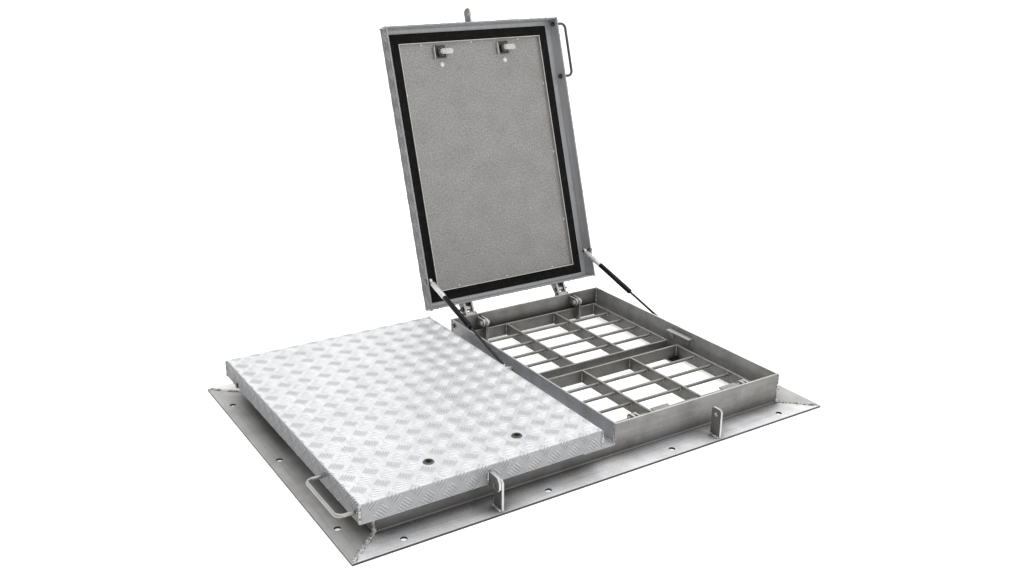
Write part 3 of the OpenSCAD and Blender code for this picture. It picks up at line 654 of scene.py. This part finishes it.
def tread_bar(shape, u, v, direction):
    """One raised bar, a long lens, centred on (u, v) of the flat sheet."""
    du, dv = direction
    rings = []
    for t in STATIONS:
        share = math.sqrt(1 - t * t)
        half, high = TREAD_W / 2 * share, TREAD_H * (0.35 + 0.65 * share)
        ring = []
        section = ((-1, -SINK), (-0.62, 0.72 * high), (0, high), (0.62, 0.72 * high), (1, -SINK))
        for across, height in section:
            ring.append((u + du * t * TREAD_L / 2 - dv * across * half,
                         v + dv * t * TREAD_L / 2 + du * across * half, height))
        rings.append(ring)
    tips = [(u + du * t * TREAD_L / 2, v + dv * t * TREAD_L / 2, 0) for t in (-1, 1)]
    points = [on_sheet(*p) for ring in rings for p in ring] + [on_sheet(*p) for p in tips]
    lowest = TOP_Z - RIM_Z - SINK
    if None in points or all(TOP_Z - p.z > lowest - 1 * MM for p in points):
        return
    n, count = 5, len(rings)
    faces = []
    for k in range(count - 1):
        faces += [(k * n + i, k * n + (i + 1) % n, (k + 1) * n + (i + 1) % n, (k + 1) * n + i)
                  for i in range(n)]
    faces += [(i, (i + 1) % n, count * n) for i in range(n)]
    faces += [((count - 1) * n + (i + 1) % n, (count - 1) * n + i, count * n + 1) for i in range(n)]
    shape.add(points, faces)


def tread_groups():
    """Centres and kinds of the groups that fall on the sheet and its skirts."""
    reach = TOP_Z - RIM_Z + FOLD_R
    for i in GROUPS_X:
        for j in GROUPS_Y:
            for kind in (0, 1):
                u = GROUP_X + GROUP_PITCH_X * (i + kind / 2)
                v = GROUP_Y + GROUP_PITCH_Y * (j - kind / 2)
                if LID_X0 - reach < u < LID_X1 + reach and LID_Y0 - reach < v < LID_Y1 + reach:
                    yield u, v, kind


def tread_bars(side_name):
    """The raised pattern over the whole lid, clear of the lock caps. The groups look bright and dull by
    turns, so each direction of bars gets a tone of its own: painted light on one and painted shade on
    the other."""
    shapes = Shape(), Shape()
    for u, v, kind in tread_groups():
        du, dv = DIAGONAL, DIAGONAL * (1, -1)[kind]
        for k in range(BARS_IN_GROUP):
            offset = (k - (BARS_IN_GROUP - 1) / 2) * BAR_PITCH
            bu, bv = u - dv * offset, v + du * offset
            near = min(math.hypot(bu - x, bv - LOCK_Y) for x in LOCK_XS)
            if near > CAP_R + CAP_GAP:
                tread_bar(shapes[kind], bu, bv, (du, dv))
    for shape, look, kind_name in zip(shapes, lid_looks[side_name]["bars"], BAR_KINDS):
        lid_piece(shape, side_name, f"{kind_name}_tread_bars", "tread_plate", look, sharp=80)


# ---- seal, rivets and small lid pieces ----

def lid_seal(side_name):
    """Rubber strip with rounded lips and a shallow groove, in place of the plain solid."""
    low, high = seal_low.z, seal_high.z
    width = liner_low.x - seal_low.x
    lip = 3 * MM
    arc = [math.pi / 2 * i / 5 for i in range(6)]
    profile = [(0, high)]
    profile += [(lip * (1 - math.cos(a)), low + lip * (1 - math.sin(a))) for a in arc]
    middle = width / 2
    profile += [(middle - 5 * MM, low), (middle - 3 * MM, low + 1.2 * MM),
                (middle + 3 * MM, low + 1.2 * MM), (middle + 5 * MM, low)]
    profile += [(width - lip * (1 - math.cos(a)), low + lip * (1 - math.sin(a))) for a in reversed(arc)]
    profile += [(width, high)]
    shape = Shape()
    shape.strip((-seal_high.x, -seal_low.x, seal_low.y, seal_high.y), profile)
    obj = lid_piece(shape, side_name, "seal_strip", "seal_rubber", lid_looks[side_name]["seal"])
    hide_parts(f"{side_name}_lid_seal")


def dome(shape, centre, axis, radius, height):
    """Low domed rivet head with a flange."""
    profile = [(-0.5 * MM, radius * 1.25), (0.5 * MM, radius * 1.25), (0.6 * MM, radius)]
    profile += [(0.6 * MM + height * math.sin(a), radius * math.cos(a) + 0.2 * MM)
                for a in (0.5, 1.0, 1.45)]
    shape.turned(centre, axis, profile, 16)


RIVET_R, RIVET_H, RIVET_INSET = 3.6 * MM, 2.2 * MM, 5 * MM
LINER_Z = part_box("left_lid_liner")[0].z


def lid_rivets(side_name):
    """Rivets that hold the liner sheet to its edge frame, their heads below the sheet."""
    shape = Shape()
    x0, x1 = -liner_high.x + RIVET_INSET, -liner_low.x - RIVET_INSET
    y0, y1 = liner_low.y + RIVET_INSET, liner_high.y - RIVET_INSET
    for share in (0.2, 0.5, 0.8):
        for x in (x0, x1):
            dome(shape, Vector((x, y0 + (y1 - y0) * share, LINER_Z)), DOWN, RIVET_R, RIVET_H)
    for share in (0.15, 0.5, 0.85):
        for y in (y0, y1):
            dome(shape, Vector((x0 + (x1 - x0) * share, y, LINER_Z)), DOWN, RIVET_R, RIVET_H)
    lid_piece(shape, side_name, "liner_rivets", "edge_frame", bright_look)


# Folded guard, from the lock's axis: its foot lies on the liner sheet and its web hangs from it
GUARD_X, GUARD_FOOT, GUARD_HALF = -26 * MM, 8 * MM, 20 * MM
GUARD_T, GUARD_WEB = 1.5 * MM, 13 * MM
BUTTON_X, BUTTON_Y, BUTTON_R, BUTTON_H = 2 * MM, 42 * MM, 6.5 * MM, 2.5 * MM


def lock_guards(side_name):
    """Bright folded guard beside each lock's barrel, and a button below it on the liner sheet."""
    shape = Shape()
    for x in LOCK_XS:
        x0, y0, y1 = x + GUARD_X, LOCK_Y - GUARD_HALF, LOCK_Y + GUARD_HALF
        for wide, deep in ((GUARD_FOOT, GUARD_T), (GUARD_T, GUARD_WEB)):
            corners = ((x0, y0), (x0 + wide, y0), (x0 + wide, y1), (x0, y1))
            shape.loft([[Vector((a, b, LINER_Z - depth)) for a, b in corners] for depth in (0.0, deep)])
        button = Vector((x + BUTTON_X, LOCK_Y + BUTTON_Y, LINER_Z))
        dome(shape, button, DOWN, BUTTON_R, BUTTON_H)
    lid_piece(shape, side_name, "lock_guards", "cam_steel", bright_look)


BEAD_IN = 0.8 * MM
CORNER_BEAD, LUG_BEAD, EAR_BEAD, HANDLE_BEAD = 3.6 * MM, 2.6 * MM, 2.2 * MM, 1.8 * MM
LUG_OFFSET = 9 * MM


def lid_welds(side_name):
    """Beads down the skirts' corners, round the handle's legs and along the lug and the hinge ears."""
    shape = Shape()
    for x, in_x in ((LID_X0, BEAD_IN), (LID_X1, -BEAD_IN)):
        for y, in_y in ((LID_Y0, BEAD_IN), (LID_Y1, -BEAD_IN)):
            inward = Vector((in_x, in_y, 0))
            shape.bead([Vector((x, y, RIM_Z + 1 * MM)) + inward,
                        Vector((x, y, TOP_Z - FOLD_R)) + inward,
                        Vector((x, y, TOP_Z - 2 * MM)) + inward * 3], CORNER_BEAD, rough=0.3)
    lug_x = OPENING_MID - (LUG_OFFSET if side_name == "right" else -LUG_OFFSET)
    for x in (lug_x - 3 * MM, lug_x + 3 * MM):
        shape.bead([(x, LID_Y0, RIM_Z + 3 * MM), (x, LID_Y0, RIM_Z + 36 * MM)], LUG_BEAD)
    for hinge_x in HINGE_XS:
        for x in (hinge_x - EAR_MIDDLE, hinge_x + EAR_MIDDLE):
            for edge in (-3 * MM, 3 * MM):
                shape.bead([(x + edge, LID_Y1, RIM_Z + 3 * MM),
                            (x + edge, LID_Y1, RIM_Z + 41 * MM)], EAR_BEAD)
    for y in HANDLE_YS:
        shape.bead(ring_path(Vector((LID_X1, y, HANDLE_Z)), (1, 0, 0), 5 * MM), HANDLE_BEAD, closed=True)
        dome(shape, Vector((LID_X1 - SHEET_T, y, HANDLE_Z)), Vector((-1, 0, 0)), 5.5 * MM, 1.5 * MM)
    lid_piece(shape, side_name, "lid_welds", "tread_plate", lid_looks[side_name]["weld"], sharp=60)


# Tie bolt's place from the hinge's axis, and the web's section from the skirt and the rim
TIE_Y, TIE_Z, TIE_R = -22 * MM, 8 * MM, 7.6 * MM
WEB_SECTION = ((0, 25 * MM), (16 * MM, 25 * MM), (16 * MM, 29 * MM), (4 * MM, 29 * MM),
               (4 * MM, 38 * MM), (0, 38 * MM))


def hinge_channels(side_name):
    """Back web between each pair of ears, with a distance tube and its dark bolt below it. The tube's
    bright finish is a painted highlight on the hinge's barrel.
    """
    webs, tubes, bolts = Shape(), Shape(), Shape()
    gap = EAR_MIDDLE - EAR_T / 2
    outside = EAR_MIDDLE + EAR_T / 2
    tie_y, tie_z = HINGE_POINT.y + TIE_Y, HINGE_POINT.z + TIE_Z
    end_r = TIE_R - 1 * MM
    tube = [(0, end_r), (1 * MM, TIE_R), (2 * gap - 1 * MM, TIE_R), (2 * gap, end_r)]
    for hinge_x, head in zip(HINGE_XS, (-1, 1)):
        webs.loft([[Vector((x, LID_Y1 + y, RIM_Z + z)) for y, z in WEB_SECTION]
                   for x in (hinge_x - gap, hinge_x + gap)])
        tubes.turned(Vector((hinge_x - gap, tie_y, tie_z)), RIGHT, tube, 28)
        start = Vector((hinge_x + head * outside, tie_y, tie_z))
        bolts.hexagon(start, (head, 0, 0), 15 * MM, 7 * MM)
        bolts.turned(start, (head, 0, 0), [(0, 4 * MM), (13 * MM, 4 * MM), (14 * MM, 3.2 * MM)], 16)
        bolts.hexagon(Vector((hinge_x - head * outside, tie_y, tie_z)), (-head, 0, 0), 13 * MM, 5 * MM)
    lid_piece(webs, side_name, "hinge_webs", "bracket_metal", bracket_look)
    # Painted highlight: the distance tubes take the bright fitting finish.
    lid_piece(tubes, side_name, "hinge_distance_tubes", "bracket_metal", bright_look)
    lid_piece(bolts, side_name, "hinge_tie_bolts", "bolt_steel", bolt_look)


# Blank plate on the front skirt: its ends, its gap to the skirt over the raised bars, its corners
PLATE_X0, PLATE_X1, PLATE_Z0, PLATE_Z1 = 458 * MM, 540 * MM, 70 * MM, 104 * MM
PLATE_T, PLATE_GAP, PLATE_CORNER_R, PLATE_RIVET_IN = 1.5 * MM, 1.2 * MM, 4 * MM, 6 * MM


def blank_plate(side_name):
    """Thin blank plate riveted to the front skirt."""
    y = LID_Y0 - PLATE_GAP
    r = PLATE_CORNER_R
    shape = Shape()
    outline = []
    for cx, cz, start in ((PLATE_X1 - r, PLATE_Z1 - r, 0), (PLATE_X0 + r, PLATE_Z1 - r, 1),
                          (PLATE_X0 + r, PLATE_Z0 + r, 2), (PLATE_X1 - r, PLATE_Z0 + r, 3)):
        outline += [(cx + r * math.cos(a), cz + r * math.sin(a))
                    for a in (math.pi / 2 * (start + i / 4) for i in range(5))]
    shape.loft([[Vector((x, y + step, z)) for x, z in outline] for step in (PLATE_GAP, -PLATE_T)])
    for x in (PLATE_X0 + PLATE_RIVET_IN, PLATE_X1 - PLATE_RIVET_IN):
        head = Vector((x, y - PLATE_T, (PLATE_Z0 + PLATE_Z1) / 2))
        dome(shape, head, Vector((0, -1, 0)), 2 * MM, 1 * MM)
    lid_piece(shape, side_name, "blank_plate", "edge_frame", bright_look)


# ---- frame welds and fillets ----

MITRE_BEAD, WALL_BEAD, FOOT_BEAD, INNER_BEAD = 5.2 * MM, 3.4 * MM, 6.0 * MM, 2.4 * MM
GUTTER_BEAD, GUTTER_FLOOR_BEAD, FLANGE_LUG_BEAD, BRACKET_BEAD = 2.2 * MM, 2.0 * MM, 4.2 * MM, 2.6 * MM
MITRE_END = 5 * MM
GUTTER_FLOOR_Z = 40 * MM


def frame_welds():
    """Beads on the flange's mitres, the coaming's corners, the gutter, the lugs and the brackets."""
    shape = Shape()
    for sx in (-1, 1):
        for sy in (-1, 1):
            shape.bead([(sx * COAMING_X, sy * COAMING_Y, FLANGE_Z),
                        (sx * (FLANGE_X - MITRE_END), sy * (FLANGE_Y - MITRE_END), FLANGE_Z)],
                       MITRE_BEAD, flat=0.45, rough=0.35)
            corner = (sx * (COAMING_X - BEAD_IN), sy * (COAMING_Y - BEAD_IN))
            shape.bead([(*corner, FLANGE_Z), (*corner, COAMING_Z - 1 * MM)], WALL_BEAD)
            shape.bead([(*corner, FLANGE_Z + 1 * MM), (*corner, FLANGE_Z + 12 * MM)], FOOT_BEAD)
            inner = (sx * (COAMING_X - WALL_T), sy * (COAMING_Y - WALL_T))
            shape.bead([(*inner, 2 * MM), (*inner, COAMING_Z - 1 * MM)], INNER_BEAD)
            for x in (GUTTER_X, GUTTER_X - WALL_T):
                shape.bead([(sx * x, sy * (COAMING_Y - WALL_T), GUTTER_FLOOR_Z + 2 * MM),
                            (sx * x, sy * (COAMING_Y - WALL_T), COAMING_Z - 1 * MM)], GUTTER_BEAD)
    for sx in (-1, 1):
        edge = sx * (GUTTER_X - WALL_T)
        shape.bead([(edge, -COAMING_Y, GUTTER_FLOOR_Z), (edge, COAMING_Y, GUTTER_FLOOR_Z)],
                   GUTTER_FLOOR_BEAD)
        for face in (-3 * MM, 3 * MM):
            x = sx * OPENING_MID + face
            shape.bead([(x, LID_Y0 - 46 * MM, FLANGE_Z), (x, LID_Y0 - 8 * MM, FLANGE_Z)],
                       FLANGE_LUG_BEAD, rough=0.2)
        for hinge_x in HINGE_XS:
            half = EAR_MIDDLE - EAR_T / 2 - 1 * MM
            for y in (-6 * MM, 6 * MM):
                shape.bead([(sx * hinge_x - half, HINGE_POINT.y + y, FLANGE_Z),
                            (sx * hinge_x + half, HINGE_POINT.y + y, FLANGE_Z)], BRACKET_BEAD)
    shape.piece("frame_welds", "frame", "flange_aluminium", weld_look, sharp=60)


def coaming_fillet():
    """Concave fillet between the coaming's outside and the flange, dark as painted shade along the
    joint.
    """
    r = 5 * MM
    arc = [math.pi / 2 * i / 6 for i in range(7)]
    profile = [(0.5 * MM, FLANGE_Z - 0.5 * MM), (-r, FLANGE_Z - 0.5 * MM)]
    profile += [(-r + r * math.sin(a), FLANGE_Z + r - r * math.cos(a)) for a in arc]
    profile += [(0.5 * MM, FLANGE_Z + r)]
    shape = Shape()
    shape.strip((-COAMING_X, COAMING_X, -COAMING_Y, COAMING_Y), profile)
    shape.piece("coaming_fillet", "frame", "coaming_aluminium", fillet_shade_look)


ROD_BEAD, BAR_BEAD = 2.1 * MM, 2.4 * MM


def grate_welds(side_name, end):
    """Beads where the cross rods meet the flat bars and where the bars join."""
    place = GRATES[end]
    z = GRATE_Z
    bars = (GRATE_X0, *place["bars"], GRATE_X1 - BAR_T)
    shape = Shape()
    for i, bar in enumerate(bars):
        faces = [f for f, shown in ((bar, i > 0), (bar + BAR_T, i < 3)) if shown]
        for k in range(GRATE_RODS):
            y = place["rod"] - k * ROD_PITCH
            for face in faces:
                shape.bead(ring_path(Vector((face, y, z + ROD_RISE)), (1, 0, 0), ROD_R + 0.6 * MM, 10),
                           ROD_BEAD, closed=True, sides=6)
        for y in (place["free"] + BAR_T, GRATE_END - BAR_T):
            for face in faces:
                shape.bead([(face, y, z + 2 * MM), (face, y, z + BAR_H - 1 * MM)], BAR_BEAD, sides=6)
    mirror = Matrix.Scale(-1, 4, (0, 1, 0)) if end == "front" else Matrix.Identity(4)
    shape.piece(f"{side_name}_{end}_grate_welds", GRATE_BODIES[side_name, end], "grate_aluminium",
                grate_weld_look, side_matrix(SIDES[side_name]) @ mirror, sharp=60)


# ---- bolts ----

def bolt(shape, x0, x1, y, z, d):
    """Hexagon bolt along X: head before x0, washers, nut after x1 and a threaded end."""
    washer = 1.2 * MM
    shape.hexagon(Vector((x0 - 0.65 * d, y, z)), RIGHT, 1.62 * d, 0.65 * d - washer)
    for x in (x0 - washer, x1):
        shape.turned(Vector((x, y, z)), RIGHT,
                     [(0, 0.97 * d), (0.2 * MM, d), (washer - 0.2 * MM, d), (washer, 0.97 * d)])
    shape.hexagon(Vector((x1 + washer, y, z)), RIGHT, 1.62 * d, 0.8 * d - washer)
    start, pitch = x1 - x0 - 2 * MM, 1.25 * MM
    thread = [(0, 0.44 * d), (start, 0.44 * d)]
    for k in range(int((d + 2 * MM) / pitch)):
        thread += [(start + (k + 0.5) * pitch, 0.5 * d), (start + (k + 1) * pitch, 0.44 * d)]
    thread += [(x1 - x0 + d, 0.38 * d)]
    shape.turned(Vector((x0, y, z)), RIGHT, thread, 20)


def frame_bolts():
    """Bolts of the lid hinges and of the grate hinges, and the small bolts in the gutter's walls."""
    lid, grates, gutter = Shape(), Shape(), Shape()
    grip = EAR_MIDDLE + EAR_T / 2 + 0.5 * MM
    grate_pivot = JOINTS["right_rear_grate_hinge"]["pos_m"]
    for side in (-1, 1):
        for x in HINGE_XS:
            part = Shape()
            bolt(part, x - grip, x + grip, HINGE_POINT.y, HINGE_POINT.z, 10 * MM)
            lid.add_moved(part, side_matrix(side))
        for end, sy in (("front", -1), ("rear", 1)):
            for x in GRATES[end]["hinges"]:
                part = Shape()
                bolt(part, x - 7 * MM, x + 13 * MM, sy * grate_pivot[1], grate_pivot[2], 8 * MM)
                grates.add_moved(part, side_matrix(side))
        wall = GUTTER_X - WALL_T
        part = Shape()
        head = Vector((wall, COAMING_Y - 22 * MM, COAMING_Z - 16 * MM))
        part.hexagon(head - RIGHT * 7 * MM, RIGHT, 13 * MM, 7 * MM)
        part.turned(head - RIGHT * 1.2 * MM, RIGHT, [(0, 7.5 * MM), (1.3 * MM, 7.5 * MM)])
        gutter.add_moved(part, side_matrix(side))
    for shape, name, look in ((lid, "lid_hinge_bolts", bolt_look),
                              (grates, "grate_hinge_bolts", bright_look),
                              (gutter, "gutter_wall_bolts", bolt_look)):
        obj = shape.piece(f"{name}_fittings", "frame", "bolt_steel", look)
        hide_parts(name)


# ---- gas springs ----

stud_low, stud_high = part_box("coaming_spring_studs")
STUD_Y, STUD_Z = (stud_low.y + stud_high.y) / 2, (stud_low.z + stud_high.z) / 2
TUBE_START, TUBE_L, TUBE_R = 16 * MM, 270 * MM, 9 * MM
SLEEVE_L = 88 * MM
SPRING_ROD_R, SPRING_ROD_L = 4 * MM, 281 * MM
EYE_R, EYE_L = 8 * MM, 10 * MM


def eye(shape, centre, along):
    """Forged ring for a stud, with a rounded rim, and its neck."""
    half = EYE_L / 2
    profile = [(-half, EYE_R - 1.5 * MM), (-half + 1.2 * MM, EYE_R), (half - 1.2 * MM, EYE_R),
               (half, EYE_R - 1.5 * MM)]
    shape.turned(centre, RIGHT, profile, 28)
    shape.turned(centre + along * (EYE_R - 2 * MM), along,
                 [(0, 4.4 * MM), (4 * MM, 3.6 * MM), (8 * MM, 4.2 * MM), (11 * MM, 4.2 * MM)], 20)


def gas_spring(side_name, end):
    """Tube with its bright sleeve and gland on the lid, and the rod on the coaming."""
    name = f"{side_name}_{end}_spring"
    top = Vector(JOINTS[f"{name}_pivot"]["pos_m"])
    foot = Vector((top.x, STUD_Y, STUD_Z))
    down = (foot - top).normalized()
    tube_end = TUBE_START + TUBE_L
    r = TUBE_R
    bore = SPRING_ROD_R + 0.4 * MM

    tube = Shape()
    tube.turned(top, down, [
        (TUBE_START + SLEEVE_L - 4 * MM, r - 1.4 * MM), (TUBE_START + SLEEVE_L, r - 0.4 * MM),
        (TUBE_START + SLEEVE_L + 1 * MM, r), (tube_end - 17 * MM, r),
        (tube_end - 15.5 * MM, r - 0.9 * MM), (tube_end - 13 * MM, r - 0.9 * MM),
        (tube_end - 11.5 * MM, r), (tube_end - 2.5 * MM, r),
        (tube_end - 0.8 * MM, r - 0.9 * MM), (tube_end, r - 2.6 * MM), (tube_end, bore),
        (TUBE_START + SLEEVE_L - 4 * MM, bore)], 32, hollow=True)
    obj = tube.piece(f"{name}_tube_body", f"{name}_tube", "spring_tube", tube_look)
    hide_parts(f"{name}_tube")

    sleeve = Shape()
    sleeve.turned(top, down, [
        (TUBE_START, bore), (TUBE_START, r - 2.5 * MM), (TUBE_START + 0.8 * MM, r - 0.9 * MM),
        (TUBE_START + 2.5 * MM, r), (TUBE_START + SLEEVE_L - 1.5 * MM, r),
        (TUBE_START + SLEEVE_L, r - 0.5 * MM), (TUBE_START + SLEEVE_L, bore)], 32, hollow=True)
    eye(sleeve, top, down)
    sleeve.piece(f"{name}_sleeve", f"{name}_tube", "cam_steel", bright_look)

    rod = Shape()
    rod.turned(foot, -down, [(EYE_R - 1 * MM, SPRING_ROD_R), (SPRING_ROD_L, SPRING_ROD_R)], 24)
    obj = rod.piece(f"{name}_rod_body", f"{name}_rod", "spring_rod", rod_look)
    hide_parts(f"{name}_rod")
    fitting = Shape()
    eye(fitting, foot, -down)
    fitting.turned(foot, -down, [(15 * MM, 4.2 * MM), (15.4 * MM, 5.4 * MM), (19 * MM, 5.4 * MM),
                                 (19.6 * MM, 4.2 * MM)], 20)
    fitting.piece(f"{name}_foot_eye", f"{name}_rod", "cam_steel", bright_look)


def lid_spring_studs(side_name):
    """Studs through the skirts: chamfered heads and washers outside, a clip behind each eye."""
    top = Vector(JOINTS["left_inner_spring_pivot"]["pos_m"])
    shape = Shape()
    lanes = sorted(abs(JOINTS[f"left_{end}_spring_pivot"]["pos_m"][0]) for end in ("inner", "outer"))
    for wall, lane, sign in ((LID_X0, lanes[0], 1), (LID_X1, lanes[1], -1)):
        inward = Vector((sign, 0, 0))
        base = Vector((wall, top.y, top.z))
        reach = abs(lane - wall)
        shape.hexagon(base - inward * 5 * MM, inward, 13 * MM, 4 * MM)
        shape.turned(base - inward * 1.1 * MM, inward, [(0, 8 * MM), (1.1 * MM, 8 * MM)])
        shape.turned(base, inward, [(0, 4 * MM), (reach + EYE_L / 2 + 2 * MM, 4 * MM)], 24)
        shape.hexagon(base + inward * SHEET_T, inward, 13 * MM, 4.5 * MM)
        shape.turned(base + inward * (reach + EYE_L / 2 + 0.2 * MM), inward,
                     [(0, 6 * MM), (1 * MM, 6 * MM), (1.8 * MM, 4.6 * MM)])
    obj = lid_piece(shape, side_name, "lid_spring_studs_fittings", "bolt_steel", bolt_look)
    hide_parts(f"{side_name}_lid_spring_studs")


for side_name in SIDES:
    tread_bars(side_name)
    lid_seal(side_name)
    lid_rivets(side_name)
    lock_guards(side_name)
    lid_welds(side_name)
    hinge_channels(side_name)
    lid_spring_studs(side_name)
    for end in ("inner", "outer"):
        gas_spring(side_name, end)
    for end in ("front", "rear"):
        grate_welds(side_name, end)
blank_plate("right")
frame_welds()
coaming_fillet()
frame_bolts()


# ---- floor, light and camera ----

def floor():
    """Large pale floor under the hatch."""
    half = 40.0
    mesh = bpy.data.meshes.new("studio_floor")
    corners = [(-half, -half, 0), (half, -half, 0), (half, half, 0), (-half, half, 0)]
    mesh.from_pydata(corners, [], [(0, 1, 2, 3)])
    look = Look("studio_floor_paper", 0.8, 0.0)
    tone = look.ramp(look.noise(2.5, detail=3), 0.90, 0.93)
    look.colour(tone)
    look.join(tone, look.shader.inputs["Emission Color"])
    look.shader.inputs["Emission Strength"].default_value = 0.5
    look.bump(look.noise(300, detail=2), 0.1 * MM, 0.2)
    mesh.materials.append(look.mat)
    obj = bpy.data.objects.new("studio_floor", mesh)
    bpy.context.scene.collection.objects.link(obj)
    obj.location.z = -0.3 * MM


def softbox(name, place, target, width, height, power):
    """Rectangular white area light that faces a target."""
    light = bpy.data.lights.new(name, "AREA")
    light.shape = "RECTANGLE"
    light.size, light.size_y, light.energy = width, height, power
    obj = bpy.data.objects.new(name, light)
    bpy.context.scene.collection.objects.link(obj)
    obj.location = place
    obj.rotation_euler = (Vector(target) - Vector(place)).to_track_quat("-Z", "Y").to_euler()


def studio_world():
    """Soft white surround, dimmer towards the hatch's left."""
    world = bpy.data.worlds.new("studio")
    bpy.context.scene.world = world
    world.use_nodes = True
    tree = world.node_tree
    tree.nodes.clear()
    out = tree.nodes.new("ShaderNodeOutputWorld")
    background = tree.nodes.new("ShaderNodeBackground")
    ramp = tree.nodes.new("ShaderNodeValToRGB")
    towards = tree.nodes.new("ShaderNodeVectorMath")
    towards.operation = "DOT_PRODUCT"
    towards.inputs[1].default_value = (0.40, 0.10, 0.27)
    shift = tree.nodes.new("ShaderNodeMath")
    shift.operation = "ADD"
    shift.inputs[1].default_value = 0.5
    coordinates = tree.nodes.new("ShaderNodeTexCoord")
    tree.links.new(coordinates.outputs["Generated"], towards.inputs[0])
    tree.links.new(towards.outputs["Value"], shift.inputs[0])
    tree.links.new(shift.outputs["Value"], ramp.inputs["Fac"])
    dim, full = ramp.color_ramp.elements
    dim.position, dim.color = 0.1, (0.32, 0.325, 0.335, 1)
    full.position, full.color = 0.62, (1.0, 1.0, 1.0, 1)
    tree.links.new(ramp.outputs["Color"], background.inputs["Color"])
    background.inputs["Strength"].default_value = 1.1
    tree.links.new(background.outputs["Background"], out.inputs["Surface"])


CAMERA_PLACE = (-1.50854, -2.38389, 1.36744)
CAMERA_YAW, CAMERA_PITCH, CAMERA_ROLL = 0.56629, 0.34429, 0.00416
CAMERA_LENS_MM = 36.24


def camera():
    """Camera at the photograph's viewing angle."""
    yaw, pitch, roll = CAMERA_YAW, CAMERA_PITCH, CAMERA_ROLL
    data = bpy.data.cameras.new("camera")
    data.sensor_width = 36.0
    data.lens = CAMERA_LENS_MM
    obj = bpy.data.objects.new("camera", data)
    bpy.context.scene.collection.objects.link(obj)
    level = math.cos(pitch)
    forward = Vector((math.sin(yaw) * level, math.cos(yaw) * level, -math.sin(pitch)))
    right = Vector((math.cos(yaw), -math.sin(yaw), 0))
    up = right.cross(forward)
    across = right * math.cos(roll) + up * math.sin(roll)
    upward = up * math.cos(roll) - right * math.sin(roll)
    turned = Matrix((across, upward, -forward)).transposed()
    obj.matrix_world = Matrix.Translation(CAMERA_PLACE) @ turned.to_4x4()
    bpy.context.scene.camera = obj


floor()
studio_world()
hatch_middle = (0, 0, 0.3)
softbox("overhead", (0.2, 0.6, 4.0), hatch_middle, 4.0, 4.0, 45)
softbox("front", (-0.6, -3.6, 2.6), hatch_middle, 1.6, 1.6, 14)
camera()
bpy.context.scene.view_settings.view_transform = "Standard"
